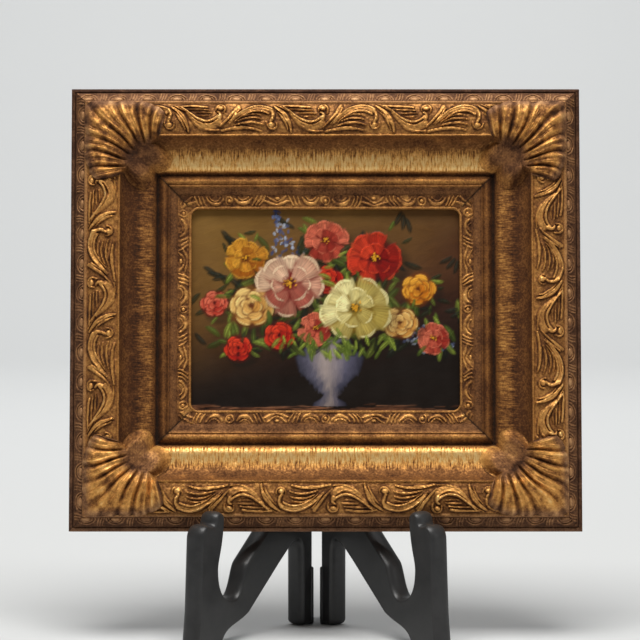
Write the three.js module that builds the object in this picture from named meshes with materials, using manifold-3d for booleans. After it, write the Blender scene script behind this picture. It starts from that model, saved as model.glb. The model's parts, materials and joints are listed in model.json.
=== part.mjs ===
// A small oil painting in a deep gilt frame, leaning on a black folding stand of two like halves.
// Millimetres, +Z up; the picture faces -Y and leans back against the posts of the stand.

import * as THREE from "three";
import { mergeVertices } from "three/addons/utils/BufferGeometryUtils.js";
import Module from "manifold-3d";

const wasm = await Module();
wasm.setup();

// Frame and painting
const FRAME_WIDTH = 368;
const FRAME_HEIGHT = 320;
const RAIL_WIDTH = 87;
const RABBET_WIDTH = 6.35;
const RABBET_SHOULDER = 8;
const PANEL_THICKNESS = 3;
const PANEL_CLEARANCE = 1.75;
const LEAN = THREE.MathUtils.degToRad(8);
const PIECE_GAP = 0.3;

// Heights of the moulding over its back, from the outer edge inward
const WALL_TOP = 18;
const EGG_BAND_LOW = 19;
const EGG_BAND_HIGH = 25;
const FILLET_TOP = 28.5;
const SCROLL_GROUND = 32;
const INNER_FILLET_TOP = 31.5;
const COVE_FLOOR = 18.5;
const GROOVE_FLOOR = 13.5;
const BEAD_TOP = 17.3;
const ARRIS_TOP = 16.5;
const LIP_TOP = 11.8;

// Ornament
const SINK = 0.9;
const SCROLL_PERIOD = 74;
const SCROLL_EDGE = 13;
const SCROLL_RISE = 2.4;
const EGG_PERIOD = 21.4;
const EGG_RADIUS = 3;
const EGG_RISE = 1.7;
const EGG_LINE = 7;
const EGG_SIDES = 6;
const EGG_MARGIN = 2;
const LEAFLET_PERIOD = 69.6;
const LEAFLET_EDGE = 77.2;
const LEAFLET_RISE = 0.8;
const LEAFLET_WIDTH = 2.6;
const LEAFLET_MARGIN = 10;
const ROSETTE_LINE = 4;
const ROSETTE_RADIUS = 2.2;
const BEAD_SIDES = 6;

// Corner leaf, laid out round a point on the mitre
const LEAF_CENTRE = 48;
const FLUTES = 13;
const FLUTE_SPREAD = THREE.MathUtils.degToRad(100);
const FLUTE_DEPTH = 1.5;
const NOTCH = 0.045;
const KNOB_RAYS = 7;
const LEAF_FLOOR = 12;
const LEAF_EDGE_LIFT = 1.3;
const LEAF_RINGS = [0.27, 0.64, 1];
const LEAF_HEIGHTS = [33.7, 35, 30.8];
const KNOB_HEIGHTS = [26.6, 22.5, 0];
const LEAF_MIDDLE = 26.8;

// Stand
const SPLAY = THREE.MathUtils.degToRad(36.5);
const PLATE_THICKNESS = 15;
const PLATE_BEVEL = 1.2;
const STAND_OFFSET = -6.4;
const SLOT_WIDTH = 4.7;
const SEAT_HEIGHT = 75;
const STAND_HEIGHT = 324;
const POST_DEPTH = 11;
const SPINE_WIDTH = 12;
const SPINE_BACK = 12;
const SPINE_FRONT = 4;
const SPINE_FOOT = 85;
const REAR_FOOT_REACH = 40;
const REAR_FOOT_HEIGHT = 44;
const POST_SWEEP = 50;
const SEAT_RUN = 17.5;
const SEAT_DROP = 19;
const CRADLE_FLOOR = 31;
const LIMB_DEPTH = 38;
const LIMB_RUN = 29;
const HOOK_CLEARANCE = 0.7;
const FINGER_HEIGHT = 20;
const FINGER_WIDTH = 7.2;
const SHOULDER_REACH = 22.4;
const SHOULDER_DROP = 11;
const FOOT_LENGTH = 24;
const FOOT_FLARE = 4;

// The moulding's front as pairs of distance from the outer edge and height over the back.
const FRONT = [
  [0, 0.7],
  [0, 15.6],
  [0.8, 17.3],
  [2.6, WALL_TOP],
  [3.1, 17.2],
  [3.6, EGG_BAND_LOW],
  [10.2, EGG_BAND_HIGH],
  [10.5, 28],
  [11.1, FILLET_TOP],
  [12.5, FILLET_TOP],
  [13, 28.2],
  [16.5, 30.2],
  [21, 31.4],
  [27, SCROLL_GROUND],
  [33, 31],
  [35, 30.6],
  [35.3, INNER_FILLET_TOP],
  [36.5, INNER_FILLET_TOP],
  [37.4, 27.6],
  [39, 24.6],
  [41.5, 22],
  [45, 20],
  [49, 18.9],
  [56, COVE_FLOOR],
  [59, 17.7],
  [61, 15.8],
  [62.1, GROOVE_FLOOR],
  [63.5, GROOVE_FLOOR],
  [64.6, 15],
  [65.8, 16.6],
  [67.6, BEAD_TOP],
  [69.3, 16.6],
  [70, 15.8],
  [70.9, ARRIS_TOP],
  [71.6, 15.4],
  [76.4, 13.6],
  [77.2, 12.8],
  [85.2, 11.3],
  [85.7, LIP_TOP],
  [86.6, LIP_TOP],
  [RAIL_WIDTH, 11.2],
];

// Height of the moulding's front at a distance from the outer edge.
function groundAt(distance) {
  const next = FRONT.findIndex(([d]) => d >= distance && d > 0);
  if (next < 0) return LIP_TOP;
  const [d0, z0] = FRONT[next - 1];
  const [d1, z1] = FRONT[next];
  return z0 + ((z1 - z0) * (distance - d0)) / (d1 - d0);
}

function solidOf(geometry) {
  const bare = new THREE.BufferGeometry();
  bare.setAttribute("position", geometry.getAttribute("position"));
  if (geometry.index) bare.setIndex(geometry.index);
  const merged = mergeVertices(bare, 1e-4);
  return new wasm.Manifold(
    new wasm.Mesh({
      numProp: 3,
      vertProperties: new Float32Array(merged.attributes.position.array),
      triVerts: new Uint32Array(merged.index.array),
    }),
  );
}

function geometryOf(solid) {
  const mesh = solid.getMesh();
  const geometry = new THREE.BufferGeometry();
  const stride = mesh.numProp;
  const places = new Float32Array(mesh.numVert * 3);
  for (let i = 0; i < mesh.numVert; i++) {
    places.set(mesh.vertProperties.subarray(i * stride, i * stride + 3), i * 3);
  }
  geometry.setAttribute("position", new THREE.BufferAttribute(places, 3));
  geometry.setIndex(new THREE.BufferAttribute(mesh.triVerts, 1));
  geometry.computeVertexNormals();
  return geometry;
}

// A closed body from points and faces, turned outward whichever way it was listed.
function bodyOf(points, faces) {
  const geometry = new THREE.BufferGeometry();
  geometry.setAttribute("position", new THREE.Float32BufferAttribute(points.flat(), 3));
  geometry.setIndex(faces.flat());
  const body = solidOf(geometry);
  if (body.volume() > 0) return body;
  geometry.setIndex(faces.map(([a, b, c]) => [a, c, b]).flat());
  return solidOf(geometry);
}

// The moulding's section moved outward square to its faces, for the space a leaf leaves free.
function grownFront(by) {
  return FRONT.map(([d, z], i) => {
    const before = FRONT[Math.max(i - 1, 0)];
    const after = FRONT[Math.min(i + 1, FRONT.length - 1)];
    const run = after[0] - before[0];
    const rise = after[1] - before[1];
    const slant = Math.hypot(run, rise);
    return [d - (by * rise) / slant, z + (by * run) / slant];
  });
}

// One mitred length of moulding along X, its outer edge at the given distance from the middle.
function mouldingBody(length, reach, front, mitreGap) {
  const section = new THREE.Shape();
  section.moveTo(-0.7, 0);
  for (const [d, z] of front) section.lineTo(-d, z);
  section.lineTo(-RAIL_WIDTH, RABBET_SHOULDER);
  section.lineTo(-(RAIL_WIDTH - RABBET_WIDTH), RABBET_SHOULDER);
  section.lineTo(-(RAIL_WIDTH - RABBET_WIDTH), 0);
  section.closePath();
  const bar = new THREE.ExtrudeGeometry(section, { depth: length, bevelEnabled: false });
  const places = bar.getAttribute("position");
  for (let i = 0; i < places.count; i++) {
    const distance = -places.getX(i);
    const height = places.getY(i);
    const cut = distance + mitreGap;
    const along = places.getZ(i) > length / 2 ? length - cut : cut;
    places.setXYZ(i, along - length / 2, reach - distance, height);
  }
  return solidOf(bar);
}

// A carved stroke: a three-sided ridge with pointed ends that follows a curve over the ground.
function strokeBody(curve, steps, width, rise, place) {
  const points = [];
  const faces = [];
  for (let i = 0; i <= steps; i++) {
    const part = i / steps;
    const at = curve.getPoint(part);
    const ahead = curve.getTangent(part);
    const swell = Math.sin(Math.PI * Math.pow(part, 0.8));
    if (i === 0 || i === steps) {
      points.push(place(at.x, at.y, -SINK / 2));
      continue;
    }
    const half = width * (0.3 + 0.45 * swell);
    points.push(place(at.x - ahead.y * half, at.y + ahead.x * half, -SINK));
    points.push(place(at.x, at.y, rise * (0.45 + 0.55 * swell)));
    points.push(place(at.x + ahead.y * half, at.y - ahead.x * half, -SINK));
  }
  const last = points.length - 1;
  for (let side = 0; side < 3; side++) {
    const other = (side + 1) % 3;
    faces.push([0, 1 + side, 1 + other]);
    faces.push([last, last - 3 + other, last - 3 + side]);
    for (let ring = 1; ring + 5 < last; ring += 3) {
      faces.push([ring + side, ring + 3 + side, ring + 3 + other]);
      faces.push([ring + side, ring + 3 + other, ring + other]);
    }
  }
  return bodyOf(points, faces);
}

// A small boss on the ground, a cone whose rim lies a little under it.
function bossBody(along, across, radius, rise, sides, place) {
  const points = [place(along, across, -SINK), place(along, across, rise)];
  const faces = [];
  const rim = radius * (1 + SINK / rise / 2);
  for (let k = 0; k < sides; k++) {
    const turn = (2 * Math.PI * k) / sides;
    points.push(place(along + Math.cos(turn) * rim, across + Math.sin(turn) * rim, -SINK));
  }
  for (let k = 0; k < sides; k++) {
    const next = (k + 1) % sides;
    faces.push([0, 2 + next, 2 + k]);
    faces.push([1, 2 + k, 2 + next]);
  }
  return bodyOf(points, faces);
}

function bend(x0, y0, x1, y1, x2, y2, x3, y3) {
  return new THREE.CubicBezierCurve(
    new THREE.Vector2(x0, y0),
    new THREE.Vector2(x1, y1),
    new THREE.Vector2(x2, y2),
    new THREE.Vector2(x3, y3),
  );
}

// One repeat of the running scroll: along the rail, and in from the edge of its channel.
const SCROLL_STROKES = [
  { curve: bend(-2, 3, 6, 9.5, 15, 20.5, 24.6, 9.6), steps: 5, width: 5 },
  { curve: bend(-4, 1.6, 2, 1.6, 9, 1.8, 15.5, 2.6), steps: 2, width: 2 },
  { curve: bend(26, 16.4, 31, 12, 35.5, 7, 38.6, 2.2), steps: 3, width: 2.6 },
  { curve: bend(33, 14.2, 43, 4.5, 51, -1, 62, 5), steps: 5, width: 4.4 },
  { curve: bend(61.6, 4.6, 63.8, 8, 63.6, 10, 62, 13), steps: 2, width: 3.6 },
  { curve: bend(27.5, 19.6, 35, 17.6, 46, 16.4, 54.8, 19.4), steps: 3, width: 2.8 },
  { curve: bend(38, 13.4, 44, 11.4, 49, 11.4, 55, 13.2), steps: 2, width: 2 },
  { curve: bend(64.5, 2.6, 71.5, 6.6, 75.5, 12, 76.6, 19.6), steps: 4, width: 3.6 },
];
const SCROLL_BOSSES = [
  { along: 25.6, across: 3.4, radius: 2.6 },
  { along: 62.6, across: 15.8, radius: 3 },
];

function scrollWork(rail, place) {
  const channel = (u, v, lift) => place(u, SCROLL_EDGE + v, lift);
  const bodies = [];
  const repeats = Math.ceil(rail.length / SCROLL_PERIOD);
  for (let n = -1; n < repeats; n++) {
    const start = rail.firstCup + n * SCROLL_PERIOD;
    const shifted = (u, v, lift) => channel(u + start, v, lift);
    const inside = (low, high) => start + low > LEAF_CENTRE && start + high < rail.length - LEAF_CENTRE;
    for (const { curve, steps, width } of SCROLL_STROKES) {
      if (!inside(curve.v0.x, curve.v3.x)) continue;
      bodies.push(strokeBody(curve, steps, width, SCROLL_RISE, shifted));
    }
    for (const { along, across, radius } of SCROLL_BOSSES) {
      if (!inside(along, along)) continue;
      bodies.push(bossBody(along, across, radius, SCROLL_RISE, BEAD_SIDES, shifted));
    }
  }
  return bodies;
}

function eggWork(rail, place) {
  const bodies = [];
  const clear = EGG_LINE + EGG_RADIUS + EGG_MARGIN;
  const count = Math.floor((rail.length - 2 * clear) / EGG_PERIOD);
  const start = (rail.length - count * EGG_PERIOD) / 2;
  for (let n = 0; n <= count; n++) {
    bodies.push(bossBody(start + n * EGG_PERIOD, EGG_LINE, EGG_RADIUS, EGG_RISE, EGG_SIDES, place));
  }
  return bodies;
}

// Mirrored leaflets about a small rosette, on the band beside the painting.
function leafletWork(rail, place) {
  const band = (u, v, lift) => place(u, LEAFLET_EDGE + v, lift);
  const bodies = [];
  const middle = rail.length / 2;
  const limit = LEAFLET_EDGE + LEAFLET_MARGIN;
  for (let n = -2; n <= 2; n++) {
    const rose = middle + n * LEAFLET_PERIOD;
    if (rose > limit && rose < rail.length - limit) {
      bodies.push(bossBody(rose, ROSETTE_LINE, ROSETTE_RADIUS, LEAFLET_RISE, BEAD_SIDES, band));
    }
    for (const side of [-1, 1]) {
      const at = (u) => rose + side * u;
      const curves = [
        bend(at(5), 2.4, at(7.5), 6.4, at(13), 6.4, at(16), 2.2),
        bend(at(18), 6.4, at(21), 5, at(23), 3, at(25), 1.2),
        bend(at(24), 1.6, at(28), 3.6, at(31), 6.2, at(34.4), 6.6),
      ];
      for (const curve of curves) {
        const low = Math.min(curve.v0.x, curve.v3.x);
        const high = Math.max(curve.v0.x, curve.v3.x);
        if (low < limit || high > rail.length - limit) continue;
        bodies.push(strokeBody(curve, 2, LEAFLET_WIDTH, LEAFLET_RISE, band));
      }
    }
  }
  return bodies;
}

// How far the corner leaf reaches from its centre, by the angle from the mitre.
const LEAF_REACH = [
  [0, 51.5],
  [20, 42.5],
  [37, 38.6],
  [53.6, 37],
  [70, 36.6],
  [81, 35],
  [90, 26],
  [104, 17.5],
  [124, 22.4],
  [144, 26],
  [158, 25.5],
  [175, 20.9],
  [180, 19.5],
];

function leafReach(angle) {
  const degrees = Math.abs(THREE.MathUtils.radToDeg(angle));
  const next = Math.max(LEAF_REACH.findIndex(([a]) => a >= degrees), 1);
  const [a0, r0] = LEAF_REACH[next - 1];
  const [a1, r1] = LEAF_REACH[next];
  return r0 + ((r1 - r0) * (degrees - a0)) / (a1 - a0);
}

// The rays of the leaf: crests and valleys of its flutes by turns, then the smooth knob.
function leafRays() {
  const rays = [];
  const steps = 2 * FLUTES;
  for (let i = 0; i <= steps; i++) {
    const angle = -FLUTE_SPREAD + (2 * FLUTE_SPREAD * i) / steps;
    rays.push({ angle, crest: i % 2 === 1, knob: false });
  }
  const rest = 2 * (Math.PI - FLUTE_SPREAD);
  for (let i = 1; i <= KNOB_RAYS; i++) {
    const angle = FLUTE_SPREAD + (rest * i) / (KNOB_RAYS + 1);
    const turned = angle > Math.PI ? angle - 2 * Math.PI : angle;
    rays.push({ angle: turned, crest: true, knob: true });
  }
  return rays;
}

// A point of the leaf in distances from the two outer edges of the frame.
function leafPoint(ray, share, grow) {
  const notch = ray.crest ? 0 : NOTCH;
  const reach = leafReach(ray.angle) * (1 - notch) * share + grow;
  const heading = ray.angle - (3 * Math.PI) / 4;
  return [LEAF_CENTRE + reach * Math.cos(heading), LEAF_CENTRE + reach * Math.sin(heading)];
}

// The leaf at the top left corner, the corner itself at the origin.
function cornerLeaf() {
  const rays = leafRays();
  const points = [[LEAF_CENTRE, -LEAF_CENTRE, LEAF_MIDDLE]];
  const faces = [];
  LEAF_RINGS.forEach((share, ring) => {
    for (const ray of rays) {
      const [a, b] = leafPoint(ray, share, 0);
      const valley = ray.crest ? 0 : FLUTE_DEPTH * Math.sin(Math.PI * (0.15 + 0.6 * share));
      const table = ray.knob ? KNOB_HEIGHTS : LEAF_HEIGHTS;
      const least = groundAt(Math.min(a, b)) + LEAF_EDGE_LIFT;
      points.push([a, -b, Math.max(table[ring] - valley, least)]);
    }
  });
  const count = rays.length;
  const outer = 1 + count * (LEAF_RINGS.length - 1);
  const floor = points.length;
  for (const ray of rays) {
    const [a, b] = leafPoint(ray, 1, 0);
    points.push([a, -b, LEAF_FLOOR]);
  }
  points.push([LEAF_CENTRE, -LEAF_CENTRE, LEAF_FLOOR]);
  const under = points.length - 1;
  for (let k = 0; k < count; k++) {
    const next = (k + 1) % count;
    faces.push([0, 1 + k, 1 + next]);
    for (let ring = 0; ring + 1 < LEAF_RINGS.length; ring++) {
      const inner = 1 + ring * count;
      const far = inner + count;
      faces.push([inner + k, far + k, far + next]);
      faces.push([inner + k, far + next, inner + next]);
    }
    faces.push([outer + k, floor + k, floor + next]);
    faces.push([outer + k, floor + next, outer + next]);
    faces.push([under, floor + next, floor + k]);
  }
  const seat = grownFront(PIECE_GAP);
  const filled = mouldingBody(FRAME_WIDTH, 0, seat, -PIECE_GAP);
  const level = filled.translate([FRAME_WIDTH / 2, 0, 0]);
  const upright = filled.translate([-FRAME_WIDTH / 2, 0, 0]).rotate([0, 0, 90]);
  return bodyOf(points, faces).subtract(level).subtract(upright);
}

// The space kept free of scrollwork round a corner leaf, at the left end of a rail.
function leafKeepOut() {
  const outline = new THREE.Shape(
    leafRays().map((ray) => {
      const [a, b] = leafPoint({ ...ray, crest: true }, 1, 2 * PIECE_GAP);
      return new THREE.Vector2(a, -b);
    }),
  );
  const height = 2 * SCROLL_GROUND;
  return solidOf(new THREE.ExtrudeGeometry(outline, { depth: height, bevelEnabled: false }));
}

const RAILS = [
  { name: "frame_top_rail", length: FRAME_WIDTH, reach: FRAME_HEIGHT / 2, turn: 0, firstCup: 82.8 },
  { name: "frame_right_rail", length: FRAME_HEIGHT, reach: FRAME_WIDTH / 2, turn: -90, firstCup: 77.6 },
  { name: "frame_bottom_rail", length: FRAME_WIDTH, reach: FRAME_HEIGHT / 2, turn: 180, firstCup: 79.3 },
  { name: "frame_left_rail", length: FRAME_HEIGHT, reach: FRAME_WIDTH / 2, turn: 90, firstCup: 78.3 },
];

function railSolid(rail, keepOut) {
  const place = (u, d, lift) => [u - rail.length / 2, rail.reach - d, groundAt(d) + lift];
  const leftEnd = keepOut.translate([-rail.length / 2, rail.reach, 0]);
  const rightEnd = keepOut.rotate([0, 0, -90]).translate([rail.length / 2, rail.reach, 0]);
  let relief = null;
  for (const body of scrollWork(rail, place)) {
    const trimmed = body.subtract(leftEnd).subtract(rightEnd);
    if (trimmed.isEmpty()) continue;
    relief = relief ? relief.add(trimmed) : trimmed;
  }
  for (const body of eggWork(rail, place)) relief = relief.add(body);
  for (const body of leafletWork(rail, place)) relief = relief.add(body);
  const plain = mouldingBody(rail.length, rail.reach, FRONT, PIECE_GAP / 2);
  return plain.add(relief).rotate([0, 0, rail.turn]);
}

// The side outline of a stand half; depths are forward from the post, heights from the table.
function plateShape() {
  const along = (depth) => depth / Math.cos(SPLAY);
  const shape = new THREE.Shape();
  const line = (depth, height) => shape.lineTo(along(depth), height);
  const bow = (d1, z1, d2, z2, d3, z3) =>
    shape.bezierCurveTo(along(d1), z1, along(d2), z2, along(d3), z3);
  const seat = seatDepth();
  const seatEnd = seat + SEAT_RUN;
  const seatLow = SEAT_HEIGHT - SEAT_DROP;
  const slope = SEAT_DROP / SEAT_RUN;
  const hook = hookDepth();
  const tip = SEAT_HEIGHT + FINGER_HEIGHT;
  const cheek = tip - FINGER_WIDTH * 0.85;
  const shoulder = tip - SHOULDER_DROP;
  const front = hook + SHOULDER_REACH;
  const toe = front + FOOT_FLARE;
  const heel = toe - FOOT_LENGTH;
  const middle = (seatEnd + hook) / 2;
  const under = seatLow - LIMB_DEPTH;
  const crown = SEAT_HEIGHT - 10.5;

  shape.moveTo(along(-POST_DEPTH), 0);
  line(-POST_DEPTH, STAND_HEIGHT);
  line(0, STAND_HEIGHT);
  line(0, SEAT_HEIGHT + POST_SWEEP);
  bow(0, SEAT_HEIGHT + 28, seat - 18, SEAT_HEIGHT + 18 * slope, seat, SEAT_HEIGHT);
  line(seatEnd, seatLow);
  bow(seatEnd + 4.5, seatLow - 4.5 * slope, seatEnd + 5, CRADLE_FLOOR, middle + 3, CRADLE_FLOOR);
  bow(hook + 2, CRADLE_FLOOR, hook + 5.5, CRADLE_FLOOR + 10, hook + 5.5, seatLow - 2);
  bow(hook + 5, seatLow + 6, hook + 1.2, SEAT_HEIGHT - 7, hook, cheek);
  bow(hook + 0.2, tip + 1, hook + FINGER_WIDTH - 1, tip + 1.6, hook + FINGER_WIDTH, cheek);
  bow(hook + 8, shoulder - 1.5, hook + 10, shoulder - 1, hook + 13.4, shoulder);
  bow(front - 4, shoulder + 1, front - 0.5, shoulder - 3, front, shoulder - 10);
  line(front + FOOT_FLARE / 2, CRADLE_FLOOR - 5);
  line(toe, 4);
  line(toe - 1, 0);
  line(heel, 0);
  bow(heel - 3, 12, heel - 14, 10, seatEnd - 2, under);
  line(seatEnd - 2 - LIMB_RUN, under + LIMB_RUN * slope);
  line(9.5, crown - 3);
  bow(4.5, crown + 1, 0.5, crown, 0, crown - 9);
  line(0, 0);
  shape.closePath();
  return shape;
}

// How far a point on the inner face of a splayed plate stands in front of its middle.
function faceAdvance() {
  return (PLATE_THICKNESS / 2) * Math.sin(SPLAY);
}

// The depth of the frame's lower back edge, when its back just clears the tops of the posts.
function edgeDepth() {
  const rise = STAND_HEIGHT - SEAT_HEIGHT;
  return faceAdvance() + rise * Math.tan(LEAN) + PIECE_GAP / Math.cos(LEAN);
}

// The depth at which the limb passes just under that edge, at the middle of the plate.
function seatDepth() {
  return edgeDepth() - faceAdvance() - 2 * PIECE_GAP;
}

// The depth of the finger's back, which clears the moulding's front on the plate's outer face.
function hookDepth() {
  return edgeDepth() + faceAdvance() + FILLET_TOP * Math.cos(LEAN) + HOOK_CLEARANCE - 2 * PIECE_GAP;
}

function barBody(outline, depth, matrix) {
  const geometry = new THREE.ExtrudeGeometry(outline, {
    depth: depth - 2 * PLATE_BEVEL,
    curveSegments: 5,
    bevelThickness: PLATE_BEVEL,
    bevelSize: PLATE_BEVEL,
    bevelOffset: -PLATE_BEVEL,
    bevelSegments: 1,
  });
  geometry.translate(0, 0, PLATE_BEVEL - depth / 2);
  geometry.applyMatrix4(matrix);
  return solidOf(geometry);
}

function outlineOf(pairs) {
  return new THREE.Shape(pairs.map(([x, y]) => new THREE.Vector2(x, y)));
}

// One half of the stand: the splayed plate, the spine that meets its twin, and the rear foot.
function standHalf(side) {
  const up = new THREE.Vector3(0, 0, 1);
  const ahead = new THREE.Vector3(side * Math.sin(SPLAY), -Math.cos(SPLAY), 0);
  const flat = new THREE.Vector3().crossVectors(ahead, up);
  const cornerInset = (PLATE_THICKNESS / 2) * Math.cos(SPLAY) + POST_DEPTH * Math.tan(SPLAY);
  const middle = side * (SLOT_WIDTH / 2 + cornerInset);
  const turn = new THREE.Matrix4().makeBasis(ahead, up, flat);
  turn.setPosition(middle, 0, 0);
  const plate = barBody(plateShape(), PLATE_THICKNESS, turn);

  const straight = new THREE.Matrix4().makeBasis(
    new THREE.Vector3(0, -1, 0),
    up,
    new THREE.Vector3(-1, 0, 0),
  );
  straight.setPosition((side * (PIECE_GAP + SPINE_WIDTH)) / 2, 0, 0);
  const spine = barBody(
    outlineOf([
      [-SPINE_BACK, SPINE_FOOT],
      [-SPINE_BACK, STAND_HEIGHT - 1],
      [-SPINE_FRONT, STAND_HEIGHT - 1],
      [-SPINE_FRONT, SPINE_FOOT],
    ]),
    SPINE_WIDTH,
    straight,
  );
  const footWidth = SPINE_WIDTH - SLOT_WIDTH / 2;
  straight.setPosition(side * (SLOT_WIDTH / 2 + footWidth / 2), 0, 0);
  const rearFoot = barBody(
    outlineOf([
      [-4, 0],
      [-4, REAR_FOOT_HEIGHT],
      [-12, REAR_FOOT_HEIGHT - 4],
      [-18, REAR_FOOT_HEIGHT / 2],
      [-28, 13],
      [-REAR_FOOT_REACH, 8],
      [-REAR_FOOT_REACH, 0],
    ]),
    footWidth,
    straight,
  );
  return plate.add(spine).add(rearFoot).translate([STAND_OFFSET, 0, 0]);
}

function material(color, roughness, metalness) {
  return new THREE.MeshStandardMaterial({ color, roughness, metalness });
}

const easel = new THREE.Group();
const picture = new THREE.Group();

const keepOut = leafKeepOut();
for (const rail of RAILS) {
  const mesh = new THREE.Mesh(geometryOf(railSolid(rail, keepOut)), material(0x8a6126, 0.5, 0.3));
  mesh.name = rail.name;
  picture.add(mesh);
}

const leaf = geometryOf(cornerLeaf());
const CORNERS = [
  { name: "corner_leaf_top_left", x: -1, y: 1, turn: 0 },
  { name: "corner_leaf_top_right", x: 1, y: 1, turn: -90 },
  { name: "corner_leaf_bottom_right", x: 1, y: -1, turn: 180 },
  { name: "corner_leaf_bottom_left", x: -1, y: -1, turn: 90 },
];
for (const { name, x, y, turn } of CORNERS) {
  const mesh = new THREE.Mesh(leaf.clone(), material(0xb08a3a, 0.45, 0.4));
  mesh.name = name;
  mesh.rotation.z = THREE.MathUtils.degToRad(turn);
  mesh.position.set((x * FRAME_WIDTH) / 2, (y * FRAME_HEIGHT) / 2, 0);
  picture.add(mesh);
}

// The panel is cut to the opening between the rabbets, less its clearance all round.
const inset = 2 * (RAIL_WIDTH - RABBET_WIDTH + PANEL_CLEARANCE);
const panel = new THREE.Mesh(
  new THREE.BoxGeometry(FRAME_WIDTH - inset, FRAME_HEIGHT - inset, PANEL_THICKNESS),
  material(0x4a3a24, 0.6, 0),
);
panel.name = "painted_panel";
panel.position.z = RABBET_SHOULDER - PIECE_GAP - PANEL_THICKNESS / 2;
picture.add(panel);

// The picture stands upright with its lower back edge on the seat, then leans back.
const standing = new THREE.Group();
picture.position.y = FRAME_HEIGHT / 2;
standing.add(picture);
standing.rotation.x = Math.PI / 2 - LEAN;
standing.position.set(0, -edgeDepth(), SEAT_HEIGHT);
easel.add(standing);

for (const [name, side] of [
  ["stand_left_half", -1],
  ["stand_right_half", 1],
]) {
  const mesh = new THREE.Mesh(geometryOf(standHalf(side)), material(0x141414, 0.4, 0));
  mesh.name = name;
  easel.add(mesh);
}

// The origin is the middle of the underside of the whole.
const box = new THREE.Box3().setFromObject(easel, true);
const middle = box.getCenter(new THREE.Vector3());
easel.position.set(-middle.x, -middle.y, -box.min.z);

export default easel;
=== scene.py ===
"""A small still life in a deep gilt frame, leaning on a black stand in two halves.

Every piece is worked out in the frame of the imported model, in metres. The mouldings and corner
leaves are height fields over their sections, and the painting is laid on stroke by stroke.
"""

import json
import math

import bpy
import numpy as np
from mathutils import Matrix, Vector


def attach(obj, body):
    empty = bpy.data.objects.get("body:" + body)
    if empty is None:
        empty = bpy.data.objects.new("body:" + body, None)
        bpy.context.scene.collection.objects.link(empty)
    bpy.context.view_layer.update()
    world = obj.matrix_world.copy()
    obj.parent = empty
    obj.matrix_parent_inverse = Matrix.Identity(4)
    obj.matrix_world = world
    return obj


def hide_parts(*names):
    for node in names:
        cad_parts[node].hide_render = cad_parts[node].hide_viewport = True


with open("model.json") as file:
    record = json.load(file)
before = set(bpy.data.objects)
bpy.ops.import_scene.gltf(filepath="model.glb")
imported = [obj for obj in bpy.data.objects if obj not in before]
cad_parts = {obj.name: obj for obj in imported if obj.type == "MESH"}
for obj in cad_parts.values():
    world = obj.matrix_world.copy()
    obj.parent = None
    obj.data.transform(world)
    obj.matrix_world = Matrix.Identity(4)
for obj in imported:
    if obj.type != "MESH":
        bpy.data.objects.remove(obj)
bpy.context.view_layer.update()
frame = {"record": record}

MM = 0.001

# Frame and moulding
FRAME_WIDTH = 0.368
FRAME_HEIGHT = 0.320
RAIL_WIDTH = 0.087
RABBET_WIDTH = 0.00635
RABBET_SHOULDER = 0.008
MITRE_GAP = 0.00015
SEAT_HEIGHT = 0.075

# Carving
SCROLL_EDGE = 0.013
SCROLL_BAND = 0.022
SCROLL_PERIOD = 0.074
EGG_EDGE = 0.0036
EGG_BAND = 0.0066
EGG_PERIOD = 0.0214
LEAFLET_EDGE = 0.0772
LEAFLET_BAND = 0.008
LEAFLET_PERIOD = 0.0696
CARVING_STEP = 0.0002
CLOUD_CELLS = 97

# How high the carving stands where its gold is brightest, partly burnished and partly painted highlight, and
# where the parts of the front lie
SCROLL_CREST = 0.0021
EGG_CREST = 0.0012
LEAFLET_CREST = 0.001
OUTER_EDGE_END = 0.0031
COVE_START = 0.0366
COVE_LIP = 0.0597
COVE_END = 0.0716
COVE_FLOOR = (0.040, 0.052)

# Corner leaf: lobes that spread like fingers from a smooth palm
MITRE_TURN = 3 * math.pi / 4
LEAF_CENTRE = 0.048
FAN_HEART = 0.0585
FAN_SPREAD = math.radians(57)
LOBES = 8
PALM_REACH = 0.0165

# Painting
PANEL_THICKNESS = 0.003
PANEL_CLEARANCE = 0.00175
PIECE_GAP = 0.0003

# Stand
SPLAY = math.radians(36.5)
PLATE_THICKNESS = 0.015
SLOT_WIDTH = 0.0047
POST_DEPTH = 0.011
STAND_HEIGHT = 0.324
STAND_OFFSET = -0.0064

# How finely the pieces are made
coarse = 1
RAIL_STEP = 0.00064 * coarse
CARVED_STEP = 0.00065 * coarse
PLAIN_STEP = 0.0022 * coarse
LEAF_RAYS = 280 // coarse
LEAF_RINGS = 56 // coarse
PAINT_STEP = 0.00075 * coarse

# The picture's own axes: across, up its face and out towards the viewer
wall_face = next(m for m in frame["record"]["mounts"] if m["name"] == "wall_face")
LEAN = math.asin(-wall_face["axis"][2])
ACROSS = np.array([1.0, 0.0, 0.0])
UPWARD = np.array([0.0, math.sin(LEAN), math.cos(LEAN)])
OUTWARD = np.array([0.0, -math.cos(LEAN), math.sin(LEAN)])
on_back = np.array(wall_face["pos_m"])
BACK_EDGE = on_back - UPWARD * (on_back[2] - SEAT_HEIGHT) / UPWARD[2]
BACK_EDGE[0] = 0.0
PICTURE_MIDDLE = BACK_EDGE + UPWARD * FRAME_HEIGHT / 2


def in_row(x, y, z):
    """Places measured from the middle of the picture's back, in the row's frame."""
    x, y, z = np.broadcast_arrays(x, y, z)
    spread = x[..., None] * ACROSS + y[..., None] * UPWARD + z[..., None] * OUTWARD
    return PICTURE_MIDDLE + spread


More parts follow.
